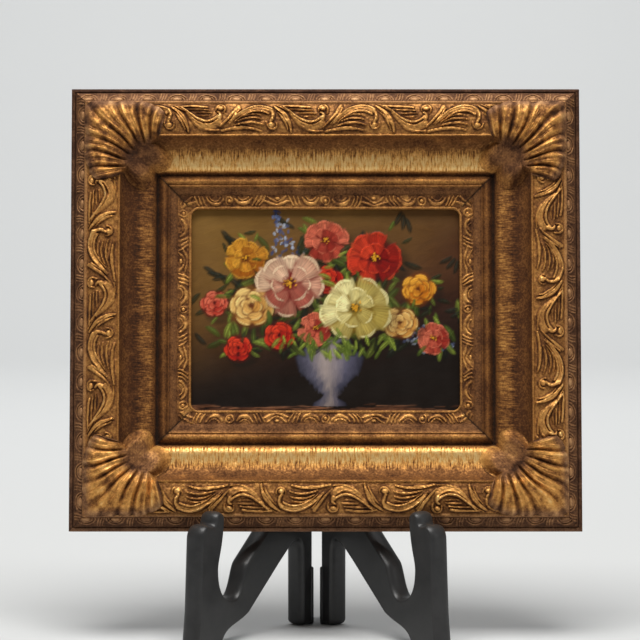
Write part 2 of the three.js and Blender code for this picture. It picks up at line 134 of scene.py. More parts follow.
# The moulding's front: distance from the outer edge and height over the back, in millimetres
FRONT = np.array([
    (0, 0.7), (0, 4), (0, 8), (0, 12), (0, 15.6), (0.25, 16.6), (0.8, 17.4), (1.6, 17.9),
    (2.5, 18), (3.0, 17.3), (3.3, 17.6), (3.6, 19), (7, 22.6), (10.2, 25), (10.4, 27.6),
    (10.7, 28.3), (11.3, 28.5), (12.3, 28.5), (12.7, 28.2), (13, 28.2), (16.5, 30.2), (21, 31.4),
    (27, 32), (33, 31), (34.9, 30.6), (35.2, 31.3), (35.5, 31.5), (36.3, 31.5), (36.7, 30.8),
    (37.4, 27.6), (39, 24.6), (41.5, 22), (45, 20), (49, 18.9), (53, 18.5), (56, 18.5), (58, 18.1),
    (59.5, 17.3), (61, 15.8), (61.9, 14), (62.4, 13.5), (63.3, 13.5), (64, 14.2), (64.8, 15.4),
    (65.8, 16.6), (66.7, 17.15), (67.6, 17.3), (68.5, 17.1), (69.3, 16.6), (70, 15.8),
    (70.4, 16.2), (70.8, 16.5), (71.1, 16.3), (71.6, 15.4), (74, 14.4), (76.4, 13.6), (76.9, 13),
    (77.2, 12.8), (81, 12), (85.2, 11.3), (85.4, 11.7), (85.8, 11.8), (86.5, 11.8),
    (86.9, 11.5), (87, 11),
]) * MM
REST = np.array([
    (87, 8), (80.65, 8), (80.65, 0), (60, 0), (40, 0), (20, 0), (0.7, 0),
]) * MM


def ground_at(distance):
    """Height of the moulding's front at a distance from its outer edge."""
    face = FRONT[4:]
    return np.interp(distance, face[:, 0], face[:, 1])


def between_cells(grid, gx, gy, ease=False):
    """A repeating grid's value at places between its cells."""
    ix = np.floor(gx).astype(int)
    iy = np.floor(gy).astype(int)
    fx = gx - ix
    fy = gy - iy
    if ease:
        fx = smooth_step(fx, 0, 1)
        fy = smooth_step(fy, 0, 1)
    rows, columns = grid.shape
    low, high = (
        grid[ix % rows, row % columns] * (1 - fx) + grid[(ix + 1) % rows, row % columns] * fx
        for row in (iy, iy + 1)
    )
    return low * (1 - fy) + high * fy


def cloud(x, y, cell_x, cell_y, seed):
    """Smooth noise between -1 and 1 whose blots are about one cell in size."""
    lattice = np.random.default_rng(seed).uniform(-1, 1, (CLOUD_CELLS, CLOUD_CELLS))
    return between_cells(lattice, x / cell_x, y / cell_y, ease=True)


def smooth_step(value, low, high):
    part = np.clip((value - low) / (high - low), 0, 1)
    return part * part * (3 - 2 * part)


def curve_points(path, steps):
    """Points of a cubic curve through its four controls."""
    s = np.linspace(0, 1, steps)[:, None]
    a, b, c, d = (np.array(p, dtype=float) for p in path)
    return a * (1 - s) ** 3 + 3 * b * s * (1 - s) ** 2 + 3 * c * s**2 * (1 - s) + d * s**3


def carve_stroke(tile, along, across, path, widths, rise, vein=0.0):
    """Raises a rounded leaf or line along a curve; all sizes in millimetres."""
    steps = 48
    line = curve_points(path, steps)
    reach = max(widths)
    low = line.min(axis=0) - reach
    high = line.max(axis=0) + reach
    near = (along > low[0]) & (along < high[0]) & (across > low[1]) & (across < high[1])
    if not near.any():
        return
    gap = np.hypot(along[near][:, None] - line[:, 0], across[near][:, None] - line[:, 1])
    nearest = gap.argmin(axis=1)
    half = np.interp(nearest / (steps - 1), [0, 0.5, 1], widths)
    share = gap.min(axis=1) / half
    body = np.sqrt(np.clip(1 - share**2, 0, 1))
    body *= 1 - vein * np.exp(-((share / 0.3) ** 2))
    tile[near] = np.maximum(tile[near], rise * body)


def carve_boss(tile, along, across, centre, radii, rise):
    """Raises an oval boss."""
    share = np.hypot((along - centre[0]) / radii[0], (across - centre[1]) / radii[1])
    np.maximum(tile, rise * np.sqrt(np.clip(1 - share**2, 0, 1)), out=tile)


def carved_tile(period, depth, strokes, bosses):
    """One repeat of an ornament as heights in metres on a fine grid, joined at its ends."""
    along, across = np.meshgrid(
        np.arange(0, period, CARVING_STEP) / MM,
        np.arange(0, depth + CARVING_STEP, CARVING_STEP) / MM,
        indexing="ij",
    )
    tile = np.zeros_like(along)
    length = period / MM
    for shift in (-length, 0, length):
        for path, widths, rise, vein in strokes:
            carve_stroke(tile, along - shift, across, path, widths, rise, vein)
        for centre, radii, rise in bosses:
            carve_boss(tile, along - shift, across, centre, radii, rise)
    return tile * MM


def sample_tile(tile, period, along, across):
    """The tile's height at places along and across the band."""
    inward = np.clip(across / CARVING_STEP, 0, tile.shape[1] - 1.001)
    return between_cells(tile, (along % period) / CARVING_STEP, inward)


# The running scroll: a cup with a curled tip, a slanting leaf, an arching leaf and a dart
SCROLL_STROKES = [
    ([(1, 6.6), (8, 13.5), (15, 22), (24.4, 14.2)], (0.8, 3.2, 3.0), 1.3, 0),
    ([(-3, 2), (6, 8.8), (14.5, 18.4), (24.2, 9.4)], (0.6, 0.95, 0.95), 2.6, 0),
    ([(1, 6.4), (8, 12.6), (14.5, 20.4), (23.8, 12.4)], (0.5, 0.7, 0.7), 1.9, 0),
    ([(7, 14), (13, 19.4), (18, 20.6), (25, 19.6)], (0.5, 0.8, 0.5), 1.8, 0),
    ([(24.8, 11), (26.4, 8.8), (25.8, 6.8), (23.6, 6.4)], (1.6, 1.2, 0.6), 2.5, 0),
    ([(22.2, 5.2), (21.8, 2), (24, 0.4), (27, 0.9)], (0.5, 0.8, 0.6), 2.1, 0),
    ([(27, 1.2), (29, 2), (29.4, 4.5), (28.3, 7.2)], (0.9, 0.9, 0.4), 2.0, 0),
    ([(-5, 1.5), (2, 1.2), (9, 1.4), (16, 2.4)], (0.6, 1.0, 0.9), 1.9, 0),
    ([(1.5, 4.1), (7, 3.9), (12, 4.1), (17.5, 4.8)], (0.4, 0.75, 0.6), 1.6, 0),
    ([(7.5, 6.8), (11, 6.6), (15, 6.4), (19.5, 6.9)], (0.4, 0.75, 0.5), 1.5, 0),
    ([(10, 9), (12.5, 9.5), (15.5, 9.3), (18.5, 8.6)], (0.3, 0.6, 0.4), 1.2, 0),
    ([(25.5, 17), (30.5, 12.3), (35, 7), (38.4, 1.8)], (0.5, 1.1, 1.5), 2.3, 0.3),
    ([(31, 14.5), (34, 11.5), (37, 7.5), (39.8, 3.4)], (0.3, 0.7, 0.8), 1.8, 0),
    ([(32, 15), (42.5, 4.8), (51, -0.8), (61.6, 5.2)], (0.6, 2.2, 2.1), 1.5, 0),
    ([(33, 12.8), (43, 2.6), (52, -2.2), (62.6, 4.2)], (0.5, 0.85, 0.9), 2.6, 0),
    ([(36, 13.6), (44, 6.8), (52, 2.2), (60.6, 7.6)], (0.4, 0.8, 0.8), 2.4, 0),
    ([(61.6, 4.4), (64.4, 7.2), (64.2, 10), (62, 13.4)], (1.5, 1.3, 1.1), 2.1, 0),
    ([(59.2, 14), (59.4, 19.8), (66.6, 19.6), (66.2, 14.2)], (0.5, 0.8, 0.5), 1.8, 0),
    ([(26.8, 20.2), (35, 18.2), (46, 16.6), (54.8, 19.6)], (0.8, 1.3, 0.6), 2.0, 0.4),
    ([(36, 16.2), (43, 13.6), (50, 13), (56.4, 15.6)], (0.4, 0.9, 0.5), 1.8, 0.2),
    ([(38.5, 13), (44.5, 10.4), (50, 9.8), (55.6, 11.8)], (0.4, 0.8, 0.5), 1.6, 0),
    ([(42, 9.8), (46.5, 7.6), (51, 7.2), (55, 9)], (0.3, 0.6, 0.4), 1.3, 0),
    ([(63.8, 1.8), (71, 6), (75.2, 12), (76.4, 20.2)], (0.7, 1.9, 0.8), 2.3, 0.45),
    ([(66.5, 6.5), (70, 9.5), (72.6, 13.6), (73.8, 18.6)], (0.4, 1.0, 0.5), 1.9, 0.2),
    ([(66, 1), (72, 3.4), (77, 7), (81, 10)], (0.4, 0.6, 0.4), 1.7, 0),
]
SCROLL_BOSSES = [
    ((25.3, 3.2), (2.4, 1.8), 2.6),
    ((62.5, 15.8), (2.4, 2.0), 2.4),
    ((63.6, 8.8), (1.1, 0.9), 2.7),
    ((63.4, 11.3), (1.1, 0.9), 2.7),
]


def egg_marks():
    """The arch over each egg, with slanting darts between one arch and the next."""
    strokes = []
    top = EGG_BAND / MM
    for radius, width, rise in ((3.6, 0.55, 1.1), (5.2, 0.55, 1.0)):
        for side in (-1, 1):
            reach = 1.3 * side * radius
            path = [(0, top - radius), (reach * 0.56, top - radius),
                    (reach, top - radius * 0.56), (reach, top)]
            strokes.append((path, (width, width, width), rise, 0))
    for step in range(3):
        start = 8.2 + 1.9 * step
        path = [(start, top - 0.4), (start + 0.9, 4.4), (start + 1.2, 3), (start + 1.4, 0.8)]
        strokes.append((path, (0.6, 0.7, 0.4), 1.0, 0))
    return strokes, []


def leaflet_marks():
    """Mirrored cups, slanting leaves and a pointed eye about a rosette."""
    strokes = []
    for side in (-1, 1):
        lines = [
            ([(4.4, 2.6), (7.2, 7.4), (13.8, 7.4), (17, 1.8)], (0.7, 1.5, 0.7), 1.4),
            ([(6.8, 1.4), (9, 4.6), (12.4, 4.6), (14.6, 1.2)], (0.4, 0.7, 0.4), 1.2),
            ([(17.2, 7.2), (18.8, 5.2), (19.8, 3.4), (20.4, 0.8)], (0.6, 0.8, 0.5), 1.3),
            ([(19.8, 7.4), (21.5, 5.2), (22.6, 3.4), (23.2, 0.8)], (0.6, 0.8, 0.5), 1.3),
            ([(22.4, 7.4), (24.2, 5.2), (25.4, 3.4), (26.2, 0.8)], (0.6, 0.8, 0.5), 1.3),
            ([(25, 4.4), (28, 4.6), (31.2, 6.8), (34.9, 7.1)], (0.5, 1.0, 0.7), 1.4),
            ([(27.6, 1), (30, 2.2), (32.2, 4.8), (34.9, 5)], (0.5, 0.8, 0.5), 1.2),
        ]
        for path, widths, rise in lines:
            turned = [(side * x, y) for x, y in path]
            strokes.append((turned, widths, rise, 0))
        petal = [(side * 0.4, 1.2), (side * 3, 1.2), (side * 3, 6.6), (side * 0.4, 6.6)]
        strokes.append((petal, (0.6, 0.7, 0.6), 1.1, 0))
    return strokes, []


def hollows_of(tile, reach):
    """How far each place of a tile lies under the mean of its neighbourhood."""
    steps = int(reach / CARVING_STEP)
    mean = np.zeros_like(tile)
    edged = np.pad(tile, ((0, 0), (steps, steps)), mode="edge")
    for shift in range(-steps, steps + 1):
        mean += np.roll(edged, shift, axis=0)[:, steps:-steps]
    across = np.pad(mean, ((0, 0), (steps, steps)), mode="edge")
    total = sum(across[:, k:k + tile.shape[1]] for k in range(2 * steps + 1))
    return np.clip(total / (2 * steps + 1) ** 2 - tile, 0, None)


scroll_tile = carved_tile(SCROLL_PERIOD, SCROLL_BAND, SCROLL_STROKES, SCROLL_BOSSES)
egg_tile = carved_tile(EGG_PERIOD, EGG_BAND, *egg_marks())
leaflet_tile = carved_tile(LEAFLET_PERIOD, LEAFLET_BAND, *leaflet_marks())
scroll_hollows = hollows_of(scroll_tile, 0.0014)

# How far the corner leaf reaches from its centre, in millimetres, by degrees from the mitre
LEAF_REACH = [
    (0, 51.5), (20, 42.5), (37, 38.6), (53.6, 37), (70, 36.6), (81, 35),
    (90, 26), (104, 17.5), (124, 22.4), (144, 26), (158, 25.5), (175, 20.9), (180, 19.5),
]


def leaf_reach(angle):
    degrees, reach = zip(*LEAF_REACH)
    return np.interp(np.degrees(np.abs(angle)), degrees, reach) * MM


def mitre_angle(x, y):
    """A direction's angle from the one that points outwards along the mitre."""
    return (np.arctan2(y, x) + MITRE_TURN + math.pi) % (2 * math.pi) - math.pi


def leaf_share(a, b):
    """Share of the leaf's reach, at distances from the frame's outer edges."""
    x = a - LEAF_CENTRE
    y = b - LEAF_CENTRE
    return np.hypot(x, y) / leaf_reach(mitre_angle(x, y))


def in_scene(thing):
    bpy.context.scene.collection.objects.link(thing)
    return thing


def smooth_faces(mesh, sharpest):
    """Smooth shading but for edges sharper than the angle, in degrees."""
    mesh.polygons.foreach_set("use_smooth", [True] * len(mesh.polygons))
    mesh.set_sharp_from_angle(angle=math.radians(sharpest))


def mesh_object(name, places, faces, sharpest=60):
    """A plain mesh object at the origin."""
    mesh = bpy.data.meshes.new(name)
    mesh.from_pydata(np.reshape(places, (-1, 3)).tolist(), [], faces)
    mesh.validate()
    mesh.update()
    smooth_faces(mesh, sharpest)
    return in_scene(bpy.data.objects.new(name, mesh))


def write_layer(mesh, name, values, kind="FLOAT", field="value"):
    """Keeps a measure of each point with the mesh."""
    layer = mesh.attributes.new(name, kind, "POINT")
    layer.data.foreach_set(field, np.ascontiguousarray(values, dtype=np.float32).ravel())


def opaque(color):
    """A colour with full cover, from its three numbers or from one shade of grey."""
    return (*color, 1) if isinstance(color, tuple) else (color, color, color, 1)


def feed(tree, fed, inputs):
    """Gives a node's sockets numbers, colours or what other sockets send."""
    for key, value in inputs.items():
        socket = fed.inputs[key]
        if isinstance(value, bpy.types.NodeSocket):
            tree.links.new(value, socket)
        else:
            socket.default_value = opaque(value) if socket.type == "RGBA" else value


def node(tree, kind, inputs=None, **settings):
    """A new node with its settings and inputs, set out beside the ones before it."""
    row, column = divmod(len(tree.nodes), 8)
    made = tree.nodes.new(kind)
    made.location = (220 * column, -320 * row)
    for key, value in settings.items():
        setattr(made, key, value)
    feed(tree, made, inputs or {})
    return made


def math_node(tree, operation, *values, clamp=False):
    inputs = dict(enumerate(values))
    return node(tree, "ShaderNodeMath", inputs, operation=operation, use_clamp=clamp).outputs[0]


def joined(tree, *parts):
    """A vector from three numbers or sockets."""
    return node(tree, "ShaderNodeCombineXYZ", dict(enumerate(parts))).outputs["Vector"]


def new_tree(name, sizes):
    """A Geometry Nodes tree with a mesh going in and out, named sizes and a finish."""
    tree = bpy.data.node_groups.new(name, "GeometryNodeTree")
    tree.interface.new_socket("Geometry", in_out="OUTPUT", socket_type="NodeSocketGeometry")
    for label, kind in {"Geometry": "Geometry", **sizes, "Finish": "Material"}.items():
        tree.interface.new_socket(label, in_out="INPUT", socket_type="NodeSocket" + kind)
    return tree, node(tree, "NodeGroupInput").outputs


def end_tree(tree, geometry, finish):
    """Every tree ends in real geometry with its finish on it."""
    real = node(tree, "GeometryNodeRealizeInstances", {"Geometry": geometry})
    coat = {"Geometry": real.outputs["Geometry"], "Material": finish}
    coated = node(tree, "GeometryNodeSetMaterial", coat)
    node(tree, "NodeGroupOutput", {"Geometry": coated.outputs["Geometry"]})
    return tree


def grown(name, tree, sizes, source=None):
    """The plain mesh object that a tree makes, with its modifier gone."""
    piece = in_scene(bpy.data.objects.new(name, source or bpy.data.meshes.new(name)))
    modifier = piece.modifiers.new("made", "NODES")
    modifier.node_group = tree
    for socket in tree.interface.items_tree:
        if socket.in_out == "INPUT" and socket.name in sizes:
            modifier[socket.identifier] = sizes[socket.name]
    depsgraph = bpy.context.evaluated_depsgraph_get()
    mesh = bpy.data.meshes.new_from_object(piece.evaluated_get(depsgraph), depsgraph=depsgraph)
    piece.modifiers.remove(modifier)
    piece.data = mesh
    return piece


def rail_places(piece):
    """Places of a piece's points along the rail, in from its outer edge and over the back."""
    flat = np.empty(3 * len(piece.data.vertices), dtype=np.float32)
    piece.data.vertices.foreach_get("co", flat)
    return flat.reshape(-1, 3).astype(float).T


def settle(piece, places, sharpest=60):
    """Moves a piece's points to their places, with its faces outwards and smooth."""
    mesh = piece.data
    mesh.vertices.foreach_set("co", places.astype(np.float32).ravel())
    mesh.update()
    centres = np.empty(3 * len(mesh.polygons), dtype=np.float32)
    mesh.polygons.foreach_get("center", centres)
    foremost = mesh.polygons[int((centres.reshape(-1, 3) @ OUTWARD).argmax())]
    if foremost.normal.dot(Vector(OUTWARD)) < 0:
        mesh.flip_normals()
    smooth_faces(mesh, sharpest)


def moulding_tree():
    """Sweeps the moulding's section along a rail and cuts both ends to the mitre."""
    sizes = {"Length": "Float", "Mitre Gap": "Float", "Stations": "Int"}
    tree, given = new_tree("mitred_moulding", sizes)
    line = node(tree, "GeometryNodeCurvePrimitiveLine").outputs["Curve"]
    parted = node(tree, "GeometryNodeResampleCurve", {"Curve": line, "Count": given["Stations"]})
    parameter = node(tree, "GeometryNodeSplineParameter")
    marked = node(tree, "GeometryNodeStoreNamedAttribute", {
        "Geometry": parted.outputs["Curve"],
        "Name": "share",
        "Value": parameter.outputs["Factor"],
    }, data_type="FLOAT", domain="POINT")
    section = node(tree, "GeometryNodeMeshToCurve", {"Mesh": given["Geometry"]})
    swept = node(tree, "GeometryNodeCurveToMesh", {
        "Curve": marked.outputs["Geometry"],
        "Profile Curve": section.outputs["Curve"],
        "Fill Caps": True,
    })

    share, distance, height = (
        node(tree, "GeometryNodeInputNamedAttribute", {"Name": label}, data_type="FLOAT").outputs["Attribute"]
        for label in ("share", "distance", "height")
    )
    start = math_node(tree, "ADD", distance, given["Mitre Gap"])
    part = math_node(tree, "MULTIPLY", share, -2.0)
    part = math_node(tree, "ADD", part, 1.0)
    part = math_node(tree, "MULTIPLY", part, start)
    run = math_node(tree, "MULTIPLY", share, given["Length"])
    along = math_node(tree, "ADD", part, run)
    place = joined(tree, along, distance, height)
    placing = {"Geometry": swept.outputs["Mesh"], "Position": place}
    placed = node(tree, "GeometryNodeSetPosition", placing)
    return end_tree(tree, placed.outputs["Geometry"], given["Finish"])


def boss_row_tree():
    """A row of low bosses at even spaces along a rail."""
    tree, given = new_tree("boss_row", {
        "Count": "Int", "First": "Float", "Spacing": "Float", "Distance": "Float",
        "Height": "Float", "Slope": "Float", "Radii": "Vector",
    })
    row = node(tree, "GeometryNodeMeshLine", {
        "Count": given["Count"],
        "Start Location": joined(tree, given["First"], given["Distance"], given["Height"]),
        "Offset": joined(tree, given["Spacing"], 0.0, 0.0),
    }, mode="OFFSET")
    ball = node(tree, "GeometryNodeMeshIcoSphere", {"Radius": 1.0, "Subdivisions": 3})
    rows = node(tree, "GeometryNodeInstanceOnPoints", {
        "Points": row.outputs["Mesh"],
        "Instance": ball.outputs["Mesh"],
        "Rotation": joined(tree, given["Slope"], 0.0, 0.0),
        "Scale": given["Radii"],
    })
    return end_tree(tree, rows.outputs["Instances"], given["Finish"])


def section_mesh(section):
    """The moulding's section as a closed line that carries its own measures."""
    count = len(section)
    mesh = bpy.data.meshes.new("moulding_section")
    corners = [(distance, height, 0) for distance, height in section.tolist()]
    mesh.from_pydata(corners, [(i, (i + 1) % count) for i in range(count)], [])
    write_layer(mesh, "distance", section[:, 0])
    write_layer(mesh, "height", section[:, 1])
    return mesh


def write_coat(piece, levels, places):
    """What the gilding reads: each point's gold level with its dirt, painted highlights and painted shade,
    its streaks, pinkish wear, dark joints and bare wood, and its place.
    """
    for label, values in levels.items():
        write_layer(piece.data, label, values)
    write_layer(piece.data, "rail_place", places, "FLOAT_VECTOR", "vector")


def tube_faces(stations, ring):
    """Quads of a tube of rings, and a cap at either end."""
    first = np.arange(stations - 1)[:, None] * ring
    k = first + np.arange(ring)
    k_next = first + (np.arange(ring) + 1) % ring
    faces = np.stack([k, k + ring, k_next + ring, k_next], axis=-1).reshape(-1, 4).tolist()
    faces.append(list(range(ring)))
    faces.append([(stations - 1) * ring + i for i in reversed(range(ring))])
    return faces


CARVED_BANDS = ((0.003, 0.0106), (0.0125, 0.0368), (0.0764, 0.0856))


def dense_section(front):
    """The front with points added, closer together in the carved bands than elsewhere."""
    rows = [front[0]]
    for start, end in zip(front[:-1], front[1:]):
        middle = (start[0] + end[0]) / 2
        carved = any(low < middle < high for low, high in CARVED_BANDS)
        step = CARVED_STEP if carved else PLAIN_STEP
        parts = max(1, int(math.ceil(math.hypot(*(end - start)) / step)))
        for part in range(1, parts + 1):
            rows.append(start + (end - start) * part / parts)
    return np.array(rows)


# Each rail: its length, how far its outer edge lies from the middle, its turn, where its first
# cup starts, the painted light on its cove for the way it faces the light (below zero, painted shade),
# and how strong its real streaks are, which also stands for how the light catches them
RAILS = [
    ("frame_top_rail", FRAME_WIDTH, FRAME_HEIGHT / 2, 0, 0.0828, 0.11, 0.85),
    ("frame_right_rail", FRAME_HEIGHT, FRAME_WIDTH / 2, -90, 0.0776, -0.29, 0.4),
    ("frame_bottom_rail", FRAME_WIDTH, FRAME_HEIGHT / 2, 180, 0.0793, 0.14, 0.9),
    ("frame_left_rail", FRAME_HEIGHT, FRAME_WIDTH / 2, 90, 0.0783, -0.33, 0.38),
]


# Painted light on each rail's outer edge and egg band by the rail's turn, for how that side faces the light;
# below zero it is painted shade
EDGE_PAINTED_LIGHT = {0: -0.07, -90: 0.0, 180: 0.15, 90: 0.0}
EGG_PAINTED_LIGHT = {0: 0.0, -90: -0.05, 180: -0.08, 90: -0.05}


def turned(x, y, degrees):
    angle = math.radians(degrees)
    return (x * math.cos(angle) - y * math.sin(angle),
            x * math.sin(angle) + y * math.cos(angle))


def make_rail(name, length, reach, turn, first_cup, cove_painted_light, streak_and_sheen, seed):
    """One mitred rail with its egg band, running scroll and inner leaflets."""
    section = np.vstack([dense_section(FRONT), REST])
    sizes = {"Length": length, "Mitre Gap": MITRE_GAP, "Stations": int(length / RAIL_STEP), "Finish": gilt_and_light}
    piece = grown(name + "_carved", mitred_moulding, sizes, section_mesh(section))
    along, distance, height = rail_places(piece)
    bare = height < 0.0035
    is_front = (height > 0.002) & ~((distance > 0.0803) & (height < 0.0085))
    from_end = np.minimum(along, length - along)

    def uneven(cell_x, cell_y, shift, amount):
        return amount * cloud(along, distance, cell_x, cell_y, seed + shift)

    def carved_band(tile, period, edge, breadth, start, slide, sway):
        """Where a band lies on the rail, and how high its tile stands there."""
        across = distance - edge
        inside = (across > 0) & (across < breadth)
        return inside, sample_tile(tile, period, along - start + slide, across + sway)

    drift = uneven(0.02, 0.012, 0, 0.0006)
    lift = 1 + uneven(0.03, 0.02, 1, 0.22)
    stray_a = uneven(0.006, 0.004, 14, 0.0008)
    stray_b = uneven(0.005, 0.003, 15, 0.0004)
    bitten = 1 + uneven(0.0038, 0.0026, 16, 0.4)
    rough_ground = uneven(0.0021, 0.0012, 5, 0.0003)
    chipped = uneven(0.0012, 0.001, 17, 0.00016)
    # Slight unevenness of the front's height from wear.
    slight_shift = uneven(0.0016, 0.0016, 2, 0.00009)

    shown = smooth_step(leaf_share(from_end, distance), 0.98, 1.03)
    in_scroll, scroll = carved_band(scroll_tile, SCROLL_PERIOD, SCROLL_EDGE, SCROLL_BAND, first_cup,
                                    drift + 0.7 * stray_a, drift + 0.7 * stray_b)
    scroll = np.where(in_scroll, (scroll * lift * 0.86 + rough_ground) * shown, 0)
    in_egg, egg = carved_band(egg_tile, EGG_PERIOD, EGG_EDGE, EGG_BAND, first_egg(length),
                              0.6 * stray_a, 0.6 * stray_b)
    egg = np.where(in_egg, egg * lift * bitten * 0.9 + 0.5 * rough_ground, 0)
    in_leaflet, leaflet = carved_band(leaflet_tile, LEAFLET_PERIOD, LEAFLET_EDGE, LEAFLET_BAND, length / 2,
                                      1.6 * drift + stray_a, drift + stray_b)
    leaflet = np.where(in_leaflet, leaflet * lift * bitten * 0.72 + chipped, 0)

    relief = (scroll + egg + leaflet) * is_front
    carved = height + relief + slight_shift * is_front
    shaped = distance + rounded_sight(from_end, distance)
    x, y = turned(along - length / 2, reach - shaped, turn)
    settle(piece, in_row(x, y, carved))

    # Crests stand brighter: partly burnished gold and partly painted highlight.
    crest = np.where(in_scroll, relief / SCROLL_CREST, 0)
    crest = np.where(in_egg, relief / EGG_CREST, crest)
    crest = np.where(in_leaflet, relief / LEAFLET_CREST, crest)
    gold_and_light = gold_and_light_level(distance, crest, in_scroll, in_egg, in_leaflet)
    # Painted light on the cove for the way each rail faces the light: brighter on the top and bottom rails,
    # painted shade on the side rails.
    cove_light_shift = min(cove_painted_light, 0) * 0.2 + cove_painted_light * smooth_step(distance, *COVE_FLOOR)
    cove_light_shift = np.where(distance < 0.0605, cove_light_shift, 0.35 * np.minimum(cove_light_shift, 0))
    gold_and_light += cove_light_shift * (distance > COVE_START) * (distance < COVE_END)
    # Painted light and shade by the rail's side: the top edge darker and the bottom edge lighter, the side
    # and bottom egg bands darker.
    gold_and_light += EDGE_PAINTED_LIGHT[turn] * (distance < OUTER_EDGE_END) + EGG_PAINTED_LIGHT[turn] * in_egg
    # Painted shade on the bottom rail's upturned inner lip, to damp its highlight.
    lip_shade = np.exp(-(((distance - COVE_LIP) / 0.0013) ** 2)) * (distance < 0.061)
    gold_and_light -= 0.26 * lip_shade * (turn == 180)
    mottle = uneven(0.0055, 0.004, 6, 1) + uneven(0.0019, 0.0015, 7, 0.7)
    gold_and_light += np.where(in_scroll, 0.07 * mottle, 0) + np.where(in_leaflet, 0.13 * mottle, 0)
    # Dirt and painted shade in the scroll's hollows.
    dirt_and_shade = sample_tile(scroll_hollows, SCROLL_PERIOD, along - first_cup + drift,
                       distance - SCROLL_EDGE + drift)
    gold_and_light -= np.where(in_scroll, 0.26 * np.clip(dirt_and_shade / 0.0006, 0, 1) ** 1.5 * shown, 0)
    seam = np.exp(-((from_end - distance) / 0.0009)) * smooth_step(distance, 0.055, 0.062)
    # The streaks are real grain; their strength per rail is also a painted sheen for how the light catches
    # them.
    write_coat(piece, {
        "gilt_and_light": gold_and_light,
        "streak": streak_and_sheen * smooth_step(distance, 0.0425, 0.0495) * (distance < 0.061) * is_front,
        "rosy": np.interp(distance / MM, *ROSY) * is_front,
        "bare": bare,
        "seam": seam * is_front,
    }, np.stack([along, distance, carved], axis=-1))
    return piece


def first_egg(length):
    """Where the first egg stands, so that the row is even about the rail's middle."""
    return (length - math.floor((length - 0.024) / EGG_PERIOD) * EGG_PERIOD) / 2


def make_bosses(name, label, length, reach, turn, row, seed):
    """A row of small domes on a rail, sunk halfway into it."""
    piece = grown(name + "_" + label, boss_row, {**row, "Finish": gilt_and_light})
    along, distance, height = rail_places(piece)
    x, y = turned(along - length / 2, reach - distance, turn)
    settle(piece, in_row(x, y, height), 180)
    # Brighter towards each dome's top: partly burnished gold and partly painted highlight.
    over = np.clip((height - row["Height"]) / row["Radii"][2], -1, 1)
    mottle = cloud(along, distance, 0.003, 0.003, seed)
    zero = np.zeros_like(over)
    rosy = zero + np.interp(row["Distance"] / MM, *ROSY)
    # The eggs take their band's painted light and shade for the rail's side.
    slight_shift = 1.4 * EGG_PAINTED_LIGHT[turn] * (label == "eggs")
    write_coat(piece, {
        "gilt_and_light": 0.42 + slight_shift + 0.24 * over + 0.1 * mottle,
        "streak": zero,
        "rosy": rosy,
        "bare": zero,
        "seam": zero,
    }, np.stack([along, distance, height], axis=-1))
    return piece


def boss_rows(length):
    """The eggs of the outer band, and the rosette hearts and eyes of the inner one."""
    begin = first_egg(length)
    eggs = int(round((length - 2 * begin) / EGG_PERIOD)) + 1
    room = (length / 2 - RAIL_WIDTH - 0.002) / LEAFLET_PERIOD
    pairs = math.floor(room)
    halves = math.floor(room + 0.5)
    first_heart = length / 2 - pairs * LEAFLET_PERIOD
    first_eye = length / 2 - (halves - 0.5) * LEAFLET_PERIOD
    egg_slope = math.atan2(6.0, 6.6)
    inner_slope = -0.17
    keys = ("Count", "First", "Spacing", "Distance", "Height", "Slope", "Radii")
    rows = {
        "eggs": (eggs, begin, EGG_PERIOD, 0.0088, 0.0236, egg_slope, (0.0036, 0.0021, 0.0015)),
        "hearts": (2 * pairs + 1, first_heart, LEAFLET_PERIOD,
                   0.0812, 0.0119, inner_slope, (0.0015, 0.0014, 0.0015)),
        "eyes": (2 * halves, first_eye, LEAFLET_PERIOD,
                 0.0794, 0.0122, inner_slope, (0.0019, 0.0011, 0.0013)),
    }
    return {label: dict(zip(keys, row)) for label, row in rows.items()}


# Where the gold has gone to a pinkish brown, by millimetres from the outer edge
ROSY = (
    (0, 2.8, 3.4, 10.2, 10.8, 12.6, 13.2, 62, 70, 71, 76, 78),
    (0.9, 0.8, 0.5, 0.7, 0.45, 0.4, 0.1, 0, 0, 0.15, 0.3, 0.1),
)


def gold_and_light_level(distance, crest, in_scroll, in_egg, in_leaflet):
    """How bright the gold is: bright on crests, fillets and the cove floor, partly burnished gold and partly
    painted highlight; dark brown in the hollows, grooves and outside, partly bole and dirt and partly painted
    shade.
    """
    level = np.interp(
        distance / MM,
        [0, 2.6, 3.2, 3.6, 10.2, 10.6, 12.4, 12.9, 13.1, 34.8, 35.2, 36.2, 36.8, 44, 48, 51.5, 58, 60,
         61, 62.5, 64, 67.6, 70, 71, 72, 76.6, 77.2, 85, 85.6, 87],
        [0.18, 0.18, 0.02, 0.24, 0.3, 0.46, 0.52, 0.42, 0.42, 0.42, 0.5, 0.46, 0.3, 0.33, 0.46, 0.7,
         0.74, 0.66, 0.42, 0.1, 0.25, 0.46, 0.34, 0.46, 0.29, 0.3, 0.28, 0.32, 0.48, 0.48],
    )
    level = np.where(in_scroll, 0.42 + 0.33 * np.clip(crest, 0, 1.1) ** 1.6, level)
    level = np.where(in_egg, 0.26 + 0.34 * np.clip(crest, 0, 1), level)
    level = np.where(in_leaflet, 0.29 + 0.28 * np.clip(crest, 0, 1.1), level)
    return level


def rounded_sight(from_end, distance):
    """How far the lip swells inward at the corners, so that the opening's corners are rounded."""
    radius = 0.0055
    past = np.clip(from_end - RAIL_WIDTH, 0, radius)
    swell = radius - np.sqrt(radius**2 - (radius - past) ** 2)
    swell = np.minimum(swell, np.clip(from_end - distance, 0, None) + radius * (1 - math.sqrt(0.5)))
    return swell * smooth_step(distance, 0.0835, 0.0858)


